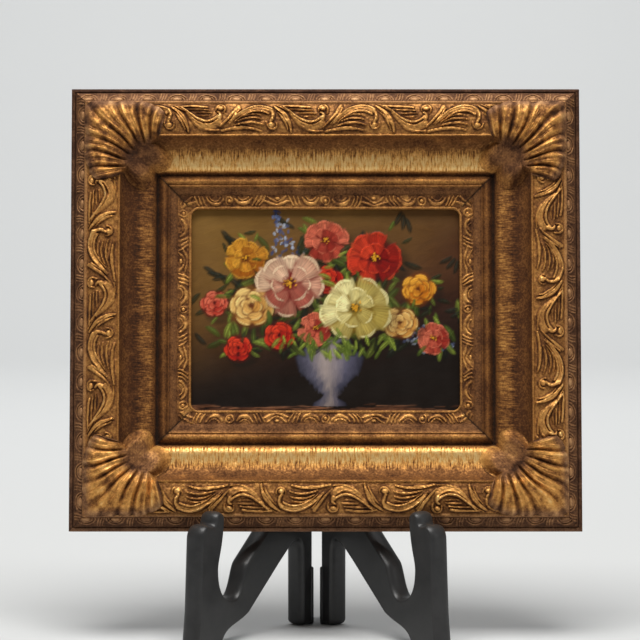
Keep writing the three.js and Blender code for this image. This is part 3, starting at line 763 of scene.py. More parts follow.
LEAF_FACE = (
    (9, 13, 20, 27, 34, 38, 43, 50, 56, 60, 64),
    (30.2, 32.4, 34.4, 35.0, 34.2, 32.0, 28.8, 26.2, 22.6, 19.6, 15),
)


def blunt_least(a, b, reach):
    """The lesser of two distances, rounded over where they are nearly alike."""
    return (a + b - np.sqrt((a - b) ** 2 + reach**2)) / 2


def ring_quads(rings, start):
    """The quads of one sheet of a leaf, and the first point of each ray and of the next one."""
    ray = start + np.arange(LEAF_RAYS)[:, None] * rings
    next_ray = np.roll(ray, -1, axis=0)
    step = np.arange(rings - 1)[None, :]
    quads = np.stack([ray + step, ray + step + 1, next_ray + step + 1, next_ray + step], axis=-1)
    return quads, ray, next_ray


def make_leaf(name, corner_x, corner_y, turn, painted_corner_light, seed):
    """A corner leaf: lobes parted by deep slits, spreading over the mitre from a smooth palm."""
    chance = np.random.default_rng(seed)
    angle = np.linspace(-math.pi, math.pi, LEAF_RAYS, endpoint=False)[:, None]
    share = np.linspace(0.004, 1, LEAF_RINGS)[None, :] ** 0.8
    lean = chance.uniform(-1, 1, LOBES + 2)
    depth_of = chance.uniform(0.75, 1.15, LOBES + 2)
    root_of = chance.uniform(-0.0012, 0.0016, LOBES + 2)

    def fan_place(a, b):
        away = np.hypot(a - FAN_HEART, b - FAN_HEART)
        bearing = mitre_angle(a - FAN_HEART, b - FAN_HEART)
        bent = bearing * (1 - 0.1 * (away / 0.05) ** 2)
        bent += 0.02 * np.sin(away / 0.006 + 3 * bearing)
        lobe = (bent / FAN_SPREAD + 1) * LOBES / 2
        slit = np.clip(np.round(lobe), 0, LOBES).astype(int)
        lobe = lobe + 0.12 * lean[slit] * smooth_step(away, 0.02, 0.05)
        from_slit = np.abs(lobe - np.round(lobe))
        slit = np.clip(np.round(lobe), 0, LOBES).astype(int)
        return away, bearing, lobe, from_slit, slit

    heading = angle - MITRE_TURN
    outward = np.maximum(-np.minimum(np.cos(heading), np.sin(heading)), 0.001)
    reach = np.minimum(leaf_reach(angle), (LEAF_CENTRE - 0.0107) / outward)
    tip_a = LEAF_CENTRE + reach * np.cos(heading)
    tip_b = LEAF_CENTRE + reach * np.sin(heading)
    away, bearing, lobe, from_slit, slit = fan_place(tip_a, tip_b)
    fanned = (away > 0.03) & (np.abs(bearing) < FAN_SPREAD)
    reach = reach * (1 - 0.03 * fanned * np.exp(-((from_slit / 0.12) ** 2)))
    a = LEAF_CENTRE + reach * share * np.cos(heading)
    b = LEAF_CENTRE + reach * share * np.sin(heading)
    least = ground_at(np.minimum(a, b)) + 0.0001

    away, bearing, lobe, from_slit, slit = fan_place(a, b)
    root = PALM_REACH + root_of[slit]
    begun = smooth_step(away - root, 0, 0.004)
    width = 0.0008 + 0.0004 * smooth_step(away, 0.02, 0.05)
    gap = from_slit * 2 * FAN_SPREAD / LOBES * away
    cut = np.exp(-((gap / width) ** 2)) * begun * depth_of[slit]
    cut = cut * (1 - 0.5 * smooth_step(away, 0.026, 0.05))
    inner = np.abs(lobe % 1 - 0.5)
    crease = np.exp(-((inner / 0.07) ** 2)) * smooth_step(away, PALM_REACH + 0.006, 0.034)
    dome = 1 - (2 * inner) ** 2
    fingers = smooth_step(away - root, 0.001, 0.009)
    face = np.interp(blunt_least(a, b, 0.006) / MM, *LEAF_FACE) * MM
    ridge = np.exp(-(((lobe % 1 - 0.27) / 0.07) ** 2)) + 0.7 * np.exp(-(((lobe % 1 - 0.74) / 0.06) ** 2))
    ridge = ridge * fingers * (0.7 + 0.6 * cloud(away, lobe, 0.012, 1.0, seed + 9))
    top = face + 0.0008 * dome * fingers - 0.0023 * cut - 0.0004 * crease * fingers + 0.0007 * ridge
    top += fingers * 0.00025 * np.sin(lobe * 41 + 2.5 * np.sin(lobe * 5 + seed) + away / 0.004)
    top += cloud(a + seed, b, 0.0045, 0.0045, seed) * 0.0004
    top += cloud(a, b + seed, 0.0018, 0.0018, seed + 8) * 0.00016
    rim = np.where(fingers > 0.5, smooth_step(share, 0.9, 1.0), smooth_step(share, 0.6, 1.0))
    thickness = np.clip(top - least, 0.0004, None)
    low_rim = np.where(fingers > 0.5, 0.4, 0.08)
    top = least + thickness * (1 - rim * (1 - low_rim))

    x, y = turned(a, -b, turn)
    upper = in_row(corner_x + x, corner_y + y, top)
    lower = in_row(corner_x + x, corner_y + y, np.minimum(least, top - 0.0002))
    last = LEAF_RINGS - 1
    kept = np.unique(np.append(np.arange(0, last, 3), last))
    under_last = len(kept) - 1
    places = np.concatenate([upper.reshape(-1, 3), lower[:, kept].reshape(-1, 3)])
    half = LEAF_RAYS * LEAF_RINGS
    quads, ray, next_ray = ring_quads(LEAF_RINGS, 0)
    under_quads, under_ray, next_under_ray = ring_quads(len(kept), half)
    faces = quads.reshape(-1, 4).tolist()
    faces += under_quads[..., ::-1].reshape(-1, 4).tolist()
    faces.append(ray.ravel()[::-1].tolist())
    faces.append(under_ray.ravel().tolist())
    rim_corners = [ray + last, under_ray + under_last, next_under_ray + under_last, next_ray + last]
    faces += np.stack(rim_corners, axis=-1).reshape(-1, 4).tolist()
    piece = mesh_object(name + "_carved", places, faces)

    patch = cloud(a, b, 0.005, 0.005, seed + 3) + 0.6 * cloud(a, b, 0.0022, 0.0022, seed + 4)
    # Brighter on the lobe domes and ridges, partly burnished gold and partly painted highlight; darker in the
    # slits, creases and towards the rim, partly dirt and partly painted shade.
    gold_and_light = 0.42 + 0.05 * dome + 0.22 * np.clip(ridge, 0, 1) + 0.17 * patch
    gold_and_light = gold_and_light - 0.22 * np.clip(cut, 0, 1) - 0.06 * crease - 0.1 * smooth_step(share, 0.78, 1.0)
    scratch = cloud(a - b, a + b, 0.0011, 0.009, seed + 12) + cloud(b, a, 0.0007, 0.005, seed + 13)
    nearest = np.minimum(a, b)
    # Where the palm melts into the cove it takes the cove's painted light: brighter beside the top and bottom
    # rails, painted shade beside the side rails.
    on_level_rail = smooth_step((a - b) * (1 if turn in (0, 180) else -1), -0.004, 0.004)
    cove = gold_and_light_level(nearest, 0, False, False, False)
    cove = cove + (0.38 * on_level_rail - 0.3) * smooth_step(nearest, *COVE_FLOOR)
    melted = smooth_step(share, 0.45, 0.95)
    palm = 0.3 * (1 - melted) + np.minimum(cove, 0.5) * melted + 0.05 * patch + 0.05 * scratch
    # Painted shade in the hollows where the lobes rise from the palm.
    hollow = np.exp(-(((away - root) / 0.0022) ** 2)) * smooth_step(np.abs(bearing), FAN_SPREAD, 0)
    # The corner's painted light is added over the whole leaf.
    gold_and_light = fingers * gold_and_light + (1 - fingers) * palm - 0.2 * hollow + painted_corner_light
    rosy = (1 - fingers) * 0.35 * (1 - melted) + 0.65 * smooth_step(share, 0.78, 1.0) * fingers
    flat = np.zeros(LEAF_RAYS * len(kept))
    blank = np.zeros(half + len(flat))
    place = np.stack([a + seed * 0.11, b, top], axis=-1)
    write_coat(piece, {
        "gilt_and_light": np.concatenate([gold_and_light.ravel(), flat]),
        "rosy": np.concatenate([rosy.ravel(), flat]),
        "streak": blank,
        "bare": blank,
        "seam": blank,
    }, np.concatenate([place.reshape(-1, 3), place[:, kept].reshape(-1, 3)]))
    return piece


# Materials


def new_material(name):
    material = bpy.data.materials.new(name)
    material.use_nodes = True
    tree = material.node_tree
    tree.nodes.clear()
    shader = node(tree, "ShaderNodeBsdfPrincipled")
    node(tree, "ShaderNodeOutputMaterial", {"Surface": shader.outputs["BSDF"]})
    return material, tree, shader


def attribute(tree, name, output="Fac"):
    return node(tree, "ShaderNodeAttribute", attribute_name=name).outputs[output]


def noise(tree, vector, scale, detail=4.0, roughness=0.6):
    inputs = {"Vector": vector, "Scale": scale, "Detail": detail, "Roughness": roughness}
    return node(tree, "ShaderNodeTexNoise", inputs).outputs["Fac"]


def stretched(tree, vector, scale):
    return node(tree, "ShaderNodeMapping", {"Vector": vector, "Scale": scale}).outputs["Vector"]


def ramp(tree, factor, stops):
    made = node(tree, "ShaderNodeValToRGB", {"Fac": factor})
    elements = made.color_ramp.elements
    while len(elements) < len(stops):
        elements.new(0.5)
    for element, (position, color) in zip(elements, stops):
        element.position = position
        element.color = opaque(color)
    return made.outputs["Color"]


def mix_color(tree, factor, first, second, blend="MIX"):
    inputs = {"Factor": factor, "A": first, "B": second}
    return node(tree, "ShaderNodeMix", inputs, data_type="RGBA", blend_type=blend).outputs["Result"]


def wood_grain(tree, place, scale, dark, light):
    """Bare wood with its grain along the first axis."""
    grain = noise(tree, stretched(tree, place, scale), 1, 6)
    return ramp(tree, grain, [(0.3, dark), (0.7, light)])


def bump(tree, height, strength, distance):
    """The surface's direction where a height roughens it."""
    inputs = {"Height": height, "Strength": strength, "Distance": distance}
    return node(tree, "ShaderNodeBump", inputs).outputs["Normal"]


def gilding():
    """Worn gold leaf over red-brown bole, with bare wood behind; its gold level brings dirt, painted
    highlights and painted shade from the pieces.
    """
    material, tree, shader = new_material("worn_gilding")
    place = attribute(tree, "rail_place", "Vector")
    labels = ("gilt_and_light", "streak", "bare", "seam", "rosy")
    gold_and_light, streak, bare, seam, rosy = (attribute(tree, label) for label in labels)

    patches = noise(tree, place, 90, 5)
    grit = noise(tree, place, 700)
    brushed = noise(tree, stretched(tree, place, (850, 150, 60)), 1)
    patchy = math_node(tree, "MULTIPLY_ADD", patches, 0.5, -0.25)
    gritty = math_node(tree, "MULTIPLY_ADD", grit, 0.5, -0.25)
    lines = math_node(tree, "MULTIPLY_ADD", brushed, 2.4, -1.2)
    lines = math_node(tree, "MULTIPLY", lines, streak)
    level = math_node(tree, "ADD", gold_and_light, patchy)
    level = math_node(tree, "ADD", level, gritty)
    level = math_node(tree, "ADD", level, lines, clamp=True)

    tone = ramp(tree, level, [
        (0.0, (0.020, 0.009, 0.004)),
        (0.2, (0.082, 0.028, 0.008)),
        (0.38, (0.240, 0.096, 0.024)),
        (0.58, (0.600, 0.285, 0.072)),
        (0.74, (0.820, 0.425, 0.118)),
        (1.0, (0.970, 0.660, 0.270)),
    ])
    dull = ramp(tree, level, [
        (0.1, (0.055, 0.023, 0.012)),
        (0.45, (0.250, 0.122, 0.062)),
        (0.9, (0.540, 0.330, 0.200)),
    ])
    tone = mix_color(tree, rosy, tone, dull)
    tone = mix_color(tree, seam, tone, (0.012, 0.007, 0.005))
    wood = wood_grain(tree, place, (25, 500, 500), (0.16, 0.085, 0.04), (0.30, 0.18, 0.09))
    metal = ramp(tree, level, [(0.15, 0.1), (0.55, 0.6), (0.9, 0.85)])
    metal = mix_color(tree, rosy, metal, 0.05)
    rough = ramp(tree, level, [(0.2, 0.88), (0.45, 0.55), (0.95, 0.45)])
    feed(tree, shader, {
        "Base Color": mix_color(tree, bare, tone, wood),
        "Specular IOR Level": 0.22,
        "Metallic": mix_color(tree, bare, metal, 0.0),
        "Roughness": mix_color(tree, bare, rough, 0.8),
        "Normal": bump(tree, math_node(tree, "ADD", grit, lines), 0.5, 0.00035),
    })
    return material


def black_plastic():
    """Satin moulded black with a fine pebble and faint scuffs."""
    material, tree, shader = new_material("black_plastic")
    coordinates = node(tree, "ShaderNodeTexCoord").outputs["Object"]
    scuffs = noise(tree, coordinates, 60, 6, 0.7)
    pebble = noise(tree, coordinates, 1800, 2)
    feed(tree, shader, {
        "Base Color": ramp(tree, scuffs, [(0.3, 0.018), (0.75, (0.04, 0.039, 0.039))]),
        "Roughness": ramp(tree, scuffs, [(0.3, 0.34), (0.75, 0.46)]),
        "Normal": bump(tree, pebble, 0.15, 0.0002),
    })
    return material


def oil_paint():
    """The painted face takes its colour from the strokes; edges and back are bare wood."""
    material, tree, shader = new_material("oil_paint")
    paint = attribute(tree, "paint", "Color")
    bare = attribute(tree, "bare")
    coordinates = node(tree, "ShaderNodeTexCoord").outputs["Object"]
    bristle = noise(tree, coordinates, 1500)
    grime = noise(tree, coordinates, 45)
    aged = ramp(tree, grime, [(0.3, (0.86, 0.84, 0.8)), (0.7, 1.0)])
    color = mix_color(tree, 1.0, paint, aged, blend="MULTIPLY")
    wood = wood_grain(tree, coordinates, (22, 300, 300), (0.15, 0.085, 0.038), (0.26, 0.16, 0.08))
    feed(tree, shader, {
        "Base Color": mix_color(tree, bare, color, wood),
        "Roughness": ramp(tree, grime, [(0.3, 0.42), (0.7, 0.55)]),
        "Specular IOR Level": 0.22,
        "Normal": bump(tree, bristle, 0.3, 0.0002),
    })
    return material


# Painting


def srgb(red, green, blue):
    """A paint colour as light, from the values a painter would mix by eye."""
    return (np.array([red, green, blue]) / 255.0) ** 2.2


class Canvas:
    """A ground that takes brush strokes as colour and as thickness of paint."""

    def __init__(self, width, height, step, seed):
        self.step = step
        self.nx = int(round(width / step)) + 1
        self.ny = int(round(height / step)) + 1
        self.width = width
        self.height = height
        self.color = np.zeros((self.nx, self.ny, 3))
        self.load = np.zeros((self.nx, self.ny))
        self.chance = np.random.default_rng(seed)
        self.x, self.y = np.meshgrid(
            np.linspace(0, 1, self.nx), np.linspace(0, height / width, self.ny), indexing="ij")

    def window(self, x, y, reach):
        scale = self.width / self.step
        i0 = max(0, int((x - reach) * scale))
        i1 = min(self.nx, int((x + reach) * scale) + 2)
        j0 = max(0, int((y - reach) * scale))
        j1 = min(self.ny, int((y + reach) * scale) + 2)
        return slice(i0, i1), slice(j0, j1)

    def dab(self, x, y, angle, length, width, color, body=0.5, cover=0.9, bend=0.0):
        """One stroke: a soft-ended oval with bristle lines along it; sizes are shares of the width."""
        rows, columns = self.window(x, y, length + width * (1 + abs(bend)))
        u = self.x[rows, columns] - x
        v = self.y[rows, columns] - y
        if u.size == 0:
            return
        s = (u * math.cos(angle) + v * math.sin(angle)) / length
        t = (-u * math.sin(angle) + v * math.cos(angle)) / width - bend * (s**2 - 0.3)
        radius = np.sqrt(s**2 + t**2)
        mask = np.clip((1 - radius) / 0.28, 0, 1)
        bristles = 0.82 + 0.18 * np.sin(t * 9 + self.chance.uniform(0, 6) + 1.5 * np.sin(s * 3))
        weight = (mask * cover * bristles)[..., None]
        shade = 1 + 0.1 * np.sin(t * 7 + self.chance.uniform(0, 6))[..., None]
        area = self.color[rows, columns]
        area += (color * shade - area) * weight
        ridge = mask * (0.6 + 0.4 * bristles) * body * (0.7 + 0.5 * np.clip(radius, 0, 1))
        thick = self.load[rows, columns]
        np.maximum(thick * (1 - 0.5 * mask), ridge, out=thick)


def paint_background(canvas):
    """Olive ochre at the upper left, falling to dark brown at the right and the foot."""
    ratio = canvas.height / canvas.width
    x = canvas.x
    y = canvas.y / ratio
    olive = srgb(130, 101, 54)
    brown = srgb(72, 44, 31)
    dark = srgb(34, 26, 20)
    glow = np.clip(1.05 - 0.75 * x - 0.95 * (1 - y) + 0.15 * cloud(x, y, 0.2, 0.2, 5), 0, 1)[..., None]
    foot = smooth_step(0.62 - y + 0.25 * (x - 0.4), 0, 0.5)[..., None]
    base = brown * (1 - glow) + olive * glow
    canvas.color[:] = base * (1 - foot) + dark * foot
    chance = canvas.chance
    for _ in range(900):
        px = chance.uniform(0, 1)
        py = chance.uniform(0, ratio)
        i = min(int(px * canvas.nx), canvas.nx - 1)
        j = min(int(py / ratio * canvas.ny), canvas.ny - 1)
        tone = canvas.color[i, j] * chance.uniform(0.88, 1.14)
        canvas.dab(px, py, chance.normal(0.25, 0.25), chance.uniform(0.03, 0.07), 0.008, tone, 0.12, 0.5)


def paint_table(canvas):
    """A brown shelf edge with light, broken strokes along it."""
    chance = canvas.chance
    for _ in range(160):
        px = chance.uniform(0.0, 1.0)
        py = chance.normal(0.022, 0.009)
        pale = chance.uniform(0, 1) ** 2 * (1 - 0.7 * px)
        tone = srgb(74, 48, 34) * (1 - pale) + srgb(176, 128, 96) * pale
        canvas.dab(px, max(py, 0.004), chance.normal(0.02, 0.05), chance.uniform(0.02, 0.06),
                   0.0035, tone, 0.4, 0.7)


def paint_vase(canvas, x, foot, width, height):
    """A footed urn, lit from the left of its middle, in smoky blue and grey."""
    chance = canvas.chance
    shades = np.array([
        srgb(44, 44, 56), srgb(92, 90, 104), srgb(150, 138, 134), srgb(88, 86, 102), srgb(34, 34, 44),
    ])
    v = (canvas.y - foot) / height
    half = np.interp(v, [0, 0.05, 0.14, 0.22, 0.5, 0.72, 0.9, 1], [0.5, 0.46, 0.15, 0.3, 0.88, 1, 0.66, 0.6])
    side = (canvas.x - x) / (half * width / 2)
    inside = (v > 0) & (v < 1) & (np.abs(side) < 1)
    tone = np.stack([np.interp(side, [-1, -0.6, -0.15, 0.5, 1], shades[:, k]) for k in range(3)], axis=-1)
    tone = tone * (0.82 + 0.3 * smooth_step(v, 0.1, 0.8))[..., None]
    edge = smooth_step(1 - np.abs(side), 0, 0.12)[..., None] * inside[..., None]
    canvas.color += (tone - canvas.color) * edge
    for _ in range(260):
        across = chance.uniform(-0.9, 0.9)
        up = chance.uniform(0.04, 0.97)
        wide = np.interp(up, [0, 0.14, 0.22, 0.5, 0.72, 1], [0.4, 0.12, 0.26, 0.84, 0.94, 0.5])
        px = x + across * wide * width / 2
        py = foot + up * height
        i = int(px * (canvas.nx - 1))
        j = int(py / (canvas.height / canvas.width) * (canvas.ny - 1))
        tone = canvas.color[i, j] * chance.uniform(0.94, 1.07)
        canvas.dab(px, py, 1.57 + 0.5 * across, 0.02, 0.008, tone, 0.2, 0.5)


def paint_leaf(canvas, x, y, angle, size, tone):
    canvas.dab(x, y, angle, size, size * 0.34, tone, 0.55, 0.85, bend=0.3)
    canvas.dab(x, y + size * 0.1, angle, size * 0.7, size * 0.1, tone * 1.7 + 0.02, 0.7, 0.7, bend=0.3)


def ahead(x, y, angle, distance):
    """The place that lies at a distance in a direction."""
    return x + distance * math.cos(angle), y + distance * math.sin(angle)


def paint_petal(canvas, x, y, angle, long, wide, tones, lit):
    """One petal, broad at its end: strokes that fan from its root, and a pale curled rim."""
    deep, middle, light = tones
    beside = angle + math.pi / 2
    tone = middle * (1 - lit) + light * lit
    if lit < 0.3:
        tone = 0.65 * tone + 0.35 * deep
    canvas.dab(x, y, angle, long * 1.06, wide * 1.1, deep * 0.9, 0.3, 0.75)
    for step in range(7):
        swing = (step - 3) / 3
        stroke = tone * canvas.chance.uniform(0.76, 1.14) * (1 - 0.2 * abs(swing))
        px, py = ahead(*ahead(x, y, beside, 0.62 * wide * swing), angle, 0.12 * long)
        canvas.dab(px, py, angle + 0.34 * swing, long * 0.8, wide * 0.24, stroke, 0.7, 0.82)
    root = ahead(x, y, angle, -0.55 * long)
    canvas.dab(*root, angle, long * 0.42, wide * 0.42, deep * 0.75, 0.4, 0.6)
    rim = ahead(x, y, angle, 0.74 * long)
    thin = wide * 0.15
    canvas.dab(*rim, beside, wide * 0.82, thin, light * (0.7 + 0.45 * lit), 1.2, 0.8, bend=0.34 * wide / thin)


def paint_bloom(canvas, x, y, size, tones, heart, turn):
    """An open flower of two rings of ruffled petals round a dark, stippled heart."""
    chance = canvas.chance
    deep = tones[0]
    squash = chance.uniform(0.8, 0.95)
    lamp = turn + 2.2
    canvas.dab(x, y, 0.0, size * 0.86, size * 0.8, deep * 0.7, 0.3, 0.85)
    for count, reach, long, wide in ((8, 0.6, 0.36, 0.36), (6, 0.32, 0.28, 0.26)):
        order = chance.permutation(count)
        for k in order:
            angle = turn + 2 * math.pi * (k + chance.uniform(-0.25, 0.25)) / count
            out = size * reach * chance.uniform(0.86, 1.14)
            lit = float(np.clip(0.46 + 0.44 * math.cos(angle - lamp) + chance.normal(0, 0.2), 0.0, 1))
            scale = chance.uniform(0.85, 1.15)
            paint_petal(canvas, x + out * math.cos(angle), y + out * math.sin(angle) * squash, angle,
                        size * long * scale, size * wide * chance.uniform(0.85, 1.15), tones, lit)
    canvas.dab(x, y + size * 0.04, 0.5, size * 0.17, size * 0.12, deep * 0.3, 0.5, 0.9)
    for _ in range(16):
        away = chance.normal(0, size * 0.09, 2)
        canvas.dab(x + away[0], y + size * 0.04 + away[1] * 0.7, chance.uniform(0, 3),
                   size * 0.045, size * 0.028, heart * chance.uniform(0.7, 1.25), 1.1, 0.9)


def paint_rose(canvas, x, y, size, tones, turn):
    """A full flower whose lapped petals open to one side."""
    chance = canvas.chance
    deep, middle, light = tones
    canvas.dab(x, y, turn, size * 0.92, size * 0.8, deep * 0.9, 0.4, 0.95)
    for count, reach, long in ((6, 0.6, 0.42), (5, 0.4, 0.34), (4, 0.2, 0.24)):
        for k in range(count):
            angle = turn + 2 * math.pi * (k + chance.uniform(-0.25, 0.25)) / count + 2 * reach
            px = x + size * reach * math.cos(angle) * chance.uniform(0.9, 1.12)
            py = y + size * reach * math.sin(angle) * 0.88 + size * 0.05 * (0.6 - reach)
            lit = float(np.clip(chance.uniform(0.1, 0.65) + 0.35 * math.cos(angle - 2.2), 0, 1))
            tone = middle * (1 - lit) + light * lit
            along = angle + math.pi / 2
            canvas.dab(px, py, along, size * long, size * 0.25, deep * 0.8, 0.4, 0.8, bend=0.5)
            canvas.dab(px, py, along, size * long * 0.9, size * 0.18, tone, 0.8, 0.9, bend=0.7)
            canvas.dab(*ahead(px, py, angle, size * 0.05), along, size * long * 0.7, size * 0.09,
                       tone * chance.uniform(1.0, 1.25), 0.8, 0.7, bend=1.2)
            canvas.dab(*ahead(px, py, angle, size * 0.13), along, size * long * 0.76, size * 0.04,
                       light * (0.75 + 0.4 * lit), 1.1, 0.85, bend=2.4)
    canvas.dab(x, y + size * 0.04, turn, size * 0.12, size * 0.08, deep * 0.6, 0.5, 0.9)


def paint_spray(canvas, x, y, angle, length, tones):
    """A spike of many small florets."""
    chance = canvas.chance
    for _ in range(70):
        share = chance.uniform(0, 1)
        side = chance.normal(0, 0.16 * (1.15 - share) * length)
        px, py = ahead(*ahead(x, y, angle, share * length), angle + math.pi / 2, side)
        tone = tones[chance.integers(len(tones))] * chance.uniform(0.8, 1.15)
        canvas.dab(px, py, chance.uniform(0, 3), 0.009, 0.0055, tone, 0.8, 0.85)


RED = (srgb(92, 14, 12), srgb(160, 34, 24), srgb(206, 74, 46))
CORAL = (srgb(112, 32, 24), srgb(170, 62, 48), srgb(208, 118, 92))
ROSE = (srgb(122, 46, 40), srgb(184, 112, 94), srgb(226, 200, 168))
CREAM = (srgb(132, 108, 40), srgb(194, 176, 98), srgb(230, 220, 164))
AMBER = (srgb(120, 66, 16), srgb(180, 112, 30), srgb(212, 158, 62))
BUFF = (srgb(120, 70, 34), srgb(186, 138, 72), srgb(222, 192, 126))
BLUES = [srgb(60, 68, 102), srgb(104, 116, 150), srgb(160, 166, 178), srgb(82, 88, 116)]
GREENS = [srgb(40, 46, 22), srgb(74, 88, 32), srgb(112, 124, 52), srgb(34, 38, 26)]
HEART = srgb(204, 150, 44)


# What stands in the vase, from the back to the front: kind, place, size, colours and turn
BOUQUET = [
    ("bloom", 0.215, 0.565, 0.082, AMBER, 0.3),
    ("bloom", 0.50, 0.63, 0.084, CORAL, 0.1),
    ("rose", 0.83, 0.455, 0.076, AMBER, 1.2),
    ("rose", 0.105, 0.405, 0.062, CORAL, 0.8),
    ("bloom", 0.885, 0.28, 0.064, CORAL, 0.2),
    ("rose", 0.19, 0.245, 0.062, RED, 2.0),
    ("bloom", 0.675, 0.565, 0.108, RED, 0.5),
    ("rose", 0.235, 0.395, 0.098, BUFF, 0.7),
    ("rose", 0.505, 0.49, 0.07, RED, 2.4),
    ("rose", 0.765, 0.335, 0.078, BUFF, 2.9),
    ("rose", 0.335, 0.29, 0.068, RED, 1.4),
    ("bloom", 0.375, 0.475, 0.128, ROSE, 0.0),
    ("bloom", 0.465, 0.315, 0.066, CORAL, 1.0),
    ("bloom", 0.605, 0.385, 0.13, CREAM, 0.4),
]


def paint_picture(canvas):
    """A generic mixed bouquet in a footed urn; places are shares of the panel's width."""
    chance = canvas.chance
    paint_background(canvas)
    paint_table(canvas)
    paint_vase(canvas, 0.515, 0.04, 0.26, 0.24)
    for _ in range(240):
        px = chance.normal(0.5, 0.19)
        py = chance.normal(0.41, 0.11)
        tone = GREENS[chance.integers(4)] * chance.uniform(0.45, 0.9)
        paint_leaf(canvas, px, max(py, 0.24), chance.uniform(0, 6.28), chance.uniform(0.02, 0.045), tone)
    for px, py, angle, size in ((0.09, 0.52, 2.5, 0.035), (0.15, 0.64, 2.2, 0.04), (0.93, 0.56, 0.5, 0.03),
                                (0.33, 0.71, 1.9, 0.03), (0.76, 0.71, 1.1, 0.034), (0.95, 0.38, 0.2, 0.03)):
        for step in range(3):
            paint_leaf(canvas, px + 0.018 * step, py - 0.012 * step, angle + 0.4 * step, size,
                       GREENS[3] * 0.8)
    paint_spray(canvas, 0.37, 0.56, 1.85, 0.19, BLUES)
    paint_spray(canvas, 0.79, 0.30, -0.3, 0.17, BLUES)
    for kind, px, py, size, tones, turn in BOUQUET:
        for _ in range(9):
            angle = chance.uniform(0, 6.28)
            away = size * chance.uniform(0.8, 1.25)
            tone = GREENS[chance.integers(3)] * chance.uniform(0.7, 1.15)
            paint_leaf(canvas, *ahead(px, py, angle, away), angle + chance.normal(0, 0.5),
                       chance.uniform(0.02, 0.036), tone)
        canvas.dab(px + 0.3 * size, py - 0.35 * size, 0.4, size * 1.05, size * 0.9,
                   srgb(26, 24, 16), 0.2, 0.5)
        if kind == "bloom":
            paint_bloom(canvas, px, py, size, tones, HEART, turn)
        else:
            paint_rose(canvas, px, py, size, tones, turn)
    for _ in range(46):
        px = chance.normal(0.53, 0.11)
        py = chance.normal(0.255, 0.022)
        tone = GREENS[1 + chance.integers(2)] * chance.uniform(0.8, 1.3)
        paint_leaf(canvas, px, py, chance.uniform(3.6, 5.8), chance.uniform(0.016, 0.032), tone)


def make_panel():
    """The wooden panel in the rabbet, its face laid with paint in low relief."""
    inset = RAIL_WIDTH - RABBET_WIDTH + PANEL_CLEARANCE
    width = FRAME_WIDTH - 2 * inset
    height = FRAME_HEIGHT - 2 * inset
    front = RABBET_SHOULDER - PIECE_GAP
    canvas = Canvas(width, height, PAINT_STEP, 11)
    paint_picture(canvas)
    nx, ny = canvas.nx, canvas.ny
    across = np.linspace(-width / 2, width / 2, nx)
    up = np.linspace(-height / 2, height / 2, ny)
    x, y = np.meshgrid(across, up, indexing="ij")
    relief = np.clip(canvas.load, 0, 1.2) / 1.2 * 0.00045
    top = front - 0.0005 + relief
    back = np.full_like(top, front - PANEL_THICKNESS)
    corners = in_row(x, y, back)[[0, -1]][:, [0, -1]]
    places = np.concatenate([in_row(x, y, top).reshape(-1, 3), corners.reshape(-1, 3)])
    i = np.arange(nx - 1)[:, None]
    j = np.arange(ny - 1)[None, :]
    quads = np.stack([i * ny + j, (i + 1) * ny + j, (i + 1) * ny + j + 1, i * ny + j + 1], axis=-1)
    faces = quads.reshape(-1, 4).tolist()
    c00, c01, c10, c11 = (nx * ny + k for k in range(4))
    faces.append([c00, c01, c11, c10])
    faces.append([i * ny for i in range(nx)][::-1] + [c00, c10])
    faces.append([i * ny + ny - 1 for i in range(nx)] + [c11, c01])
    faces.append(list(range(ny)) + [c01, c00])
    faces.append([(nx - 1) * ny + j for j in range(ny)][::-1] + [c10, c11])
    piece = mesh_object("oil_painting", places, faces)
    colors = np.ones((nx * ny + 4, 4), dtype=np.float32)
    deeper = 1.38 * np.clip(canvas.color, 0, 1) ** 1.15
    colors[: nx * ny, :3] = np.clip(deeper, 0, 0.9).reshape(-1, 3)
    write_layer(piece.data, "paint", colors, "FLOAT_COLOR", "color")
    bare = np.zeros(nx * ny + 4)
    bare[nx * ny:] = 1
    write_layer(piece.data, "bare", bare)
    return piece


# Stand


def outline_path(start, moves, steps=12):
    """An outline from straight moves (2 numbers) and curves (6 numbers)."""
    points = [start]
    for move in moves:
        if len(move) == 2:
            points.append(move)
            continue
        path = [points[-1], move[0:2], move[2:4], move[4:6]]
        points += [tuple(p) for p in curve_points(path, steps)[1:]]
    return np.array(points, dtype=float)


def rounded_corners(outline, radius, steps=6):
    """The outline with each sharp corner replaced by an arc-like curve."""
    rows = []
    count = len(outline)
    for i in range(count):
        before, here, after = outline[i - 1], outline[i], outline[(i + 1) % count]
        into = here - before
        out = after - here
        lengths = np.hypot(*into), np.hypot(*out)
        into, out = into / lengths[0], out / lengths[1]
        if into @ out > 0.94:
            rows.append(here)
            continue
        cut = min(1.5 * radius, 0.45 * min(lengths))
        near = here - into * cut
        far = here + out * cut
        for s in np.linspace(0, 1, steps):
            rows.append((1 - s) ** 2 * near + 2 * s * (1 - s) * here + s**2 * far)
    return np.array(rows)


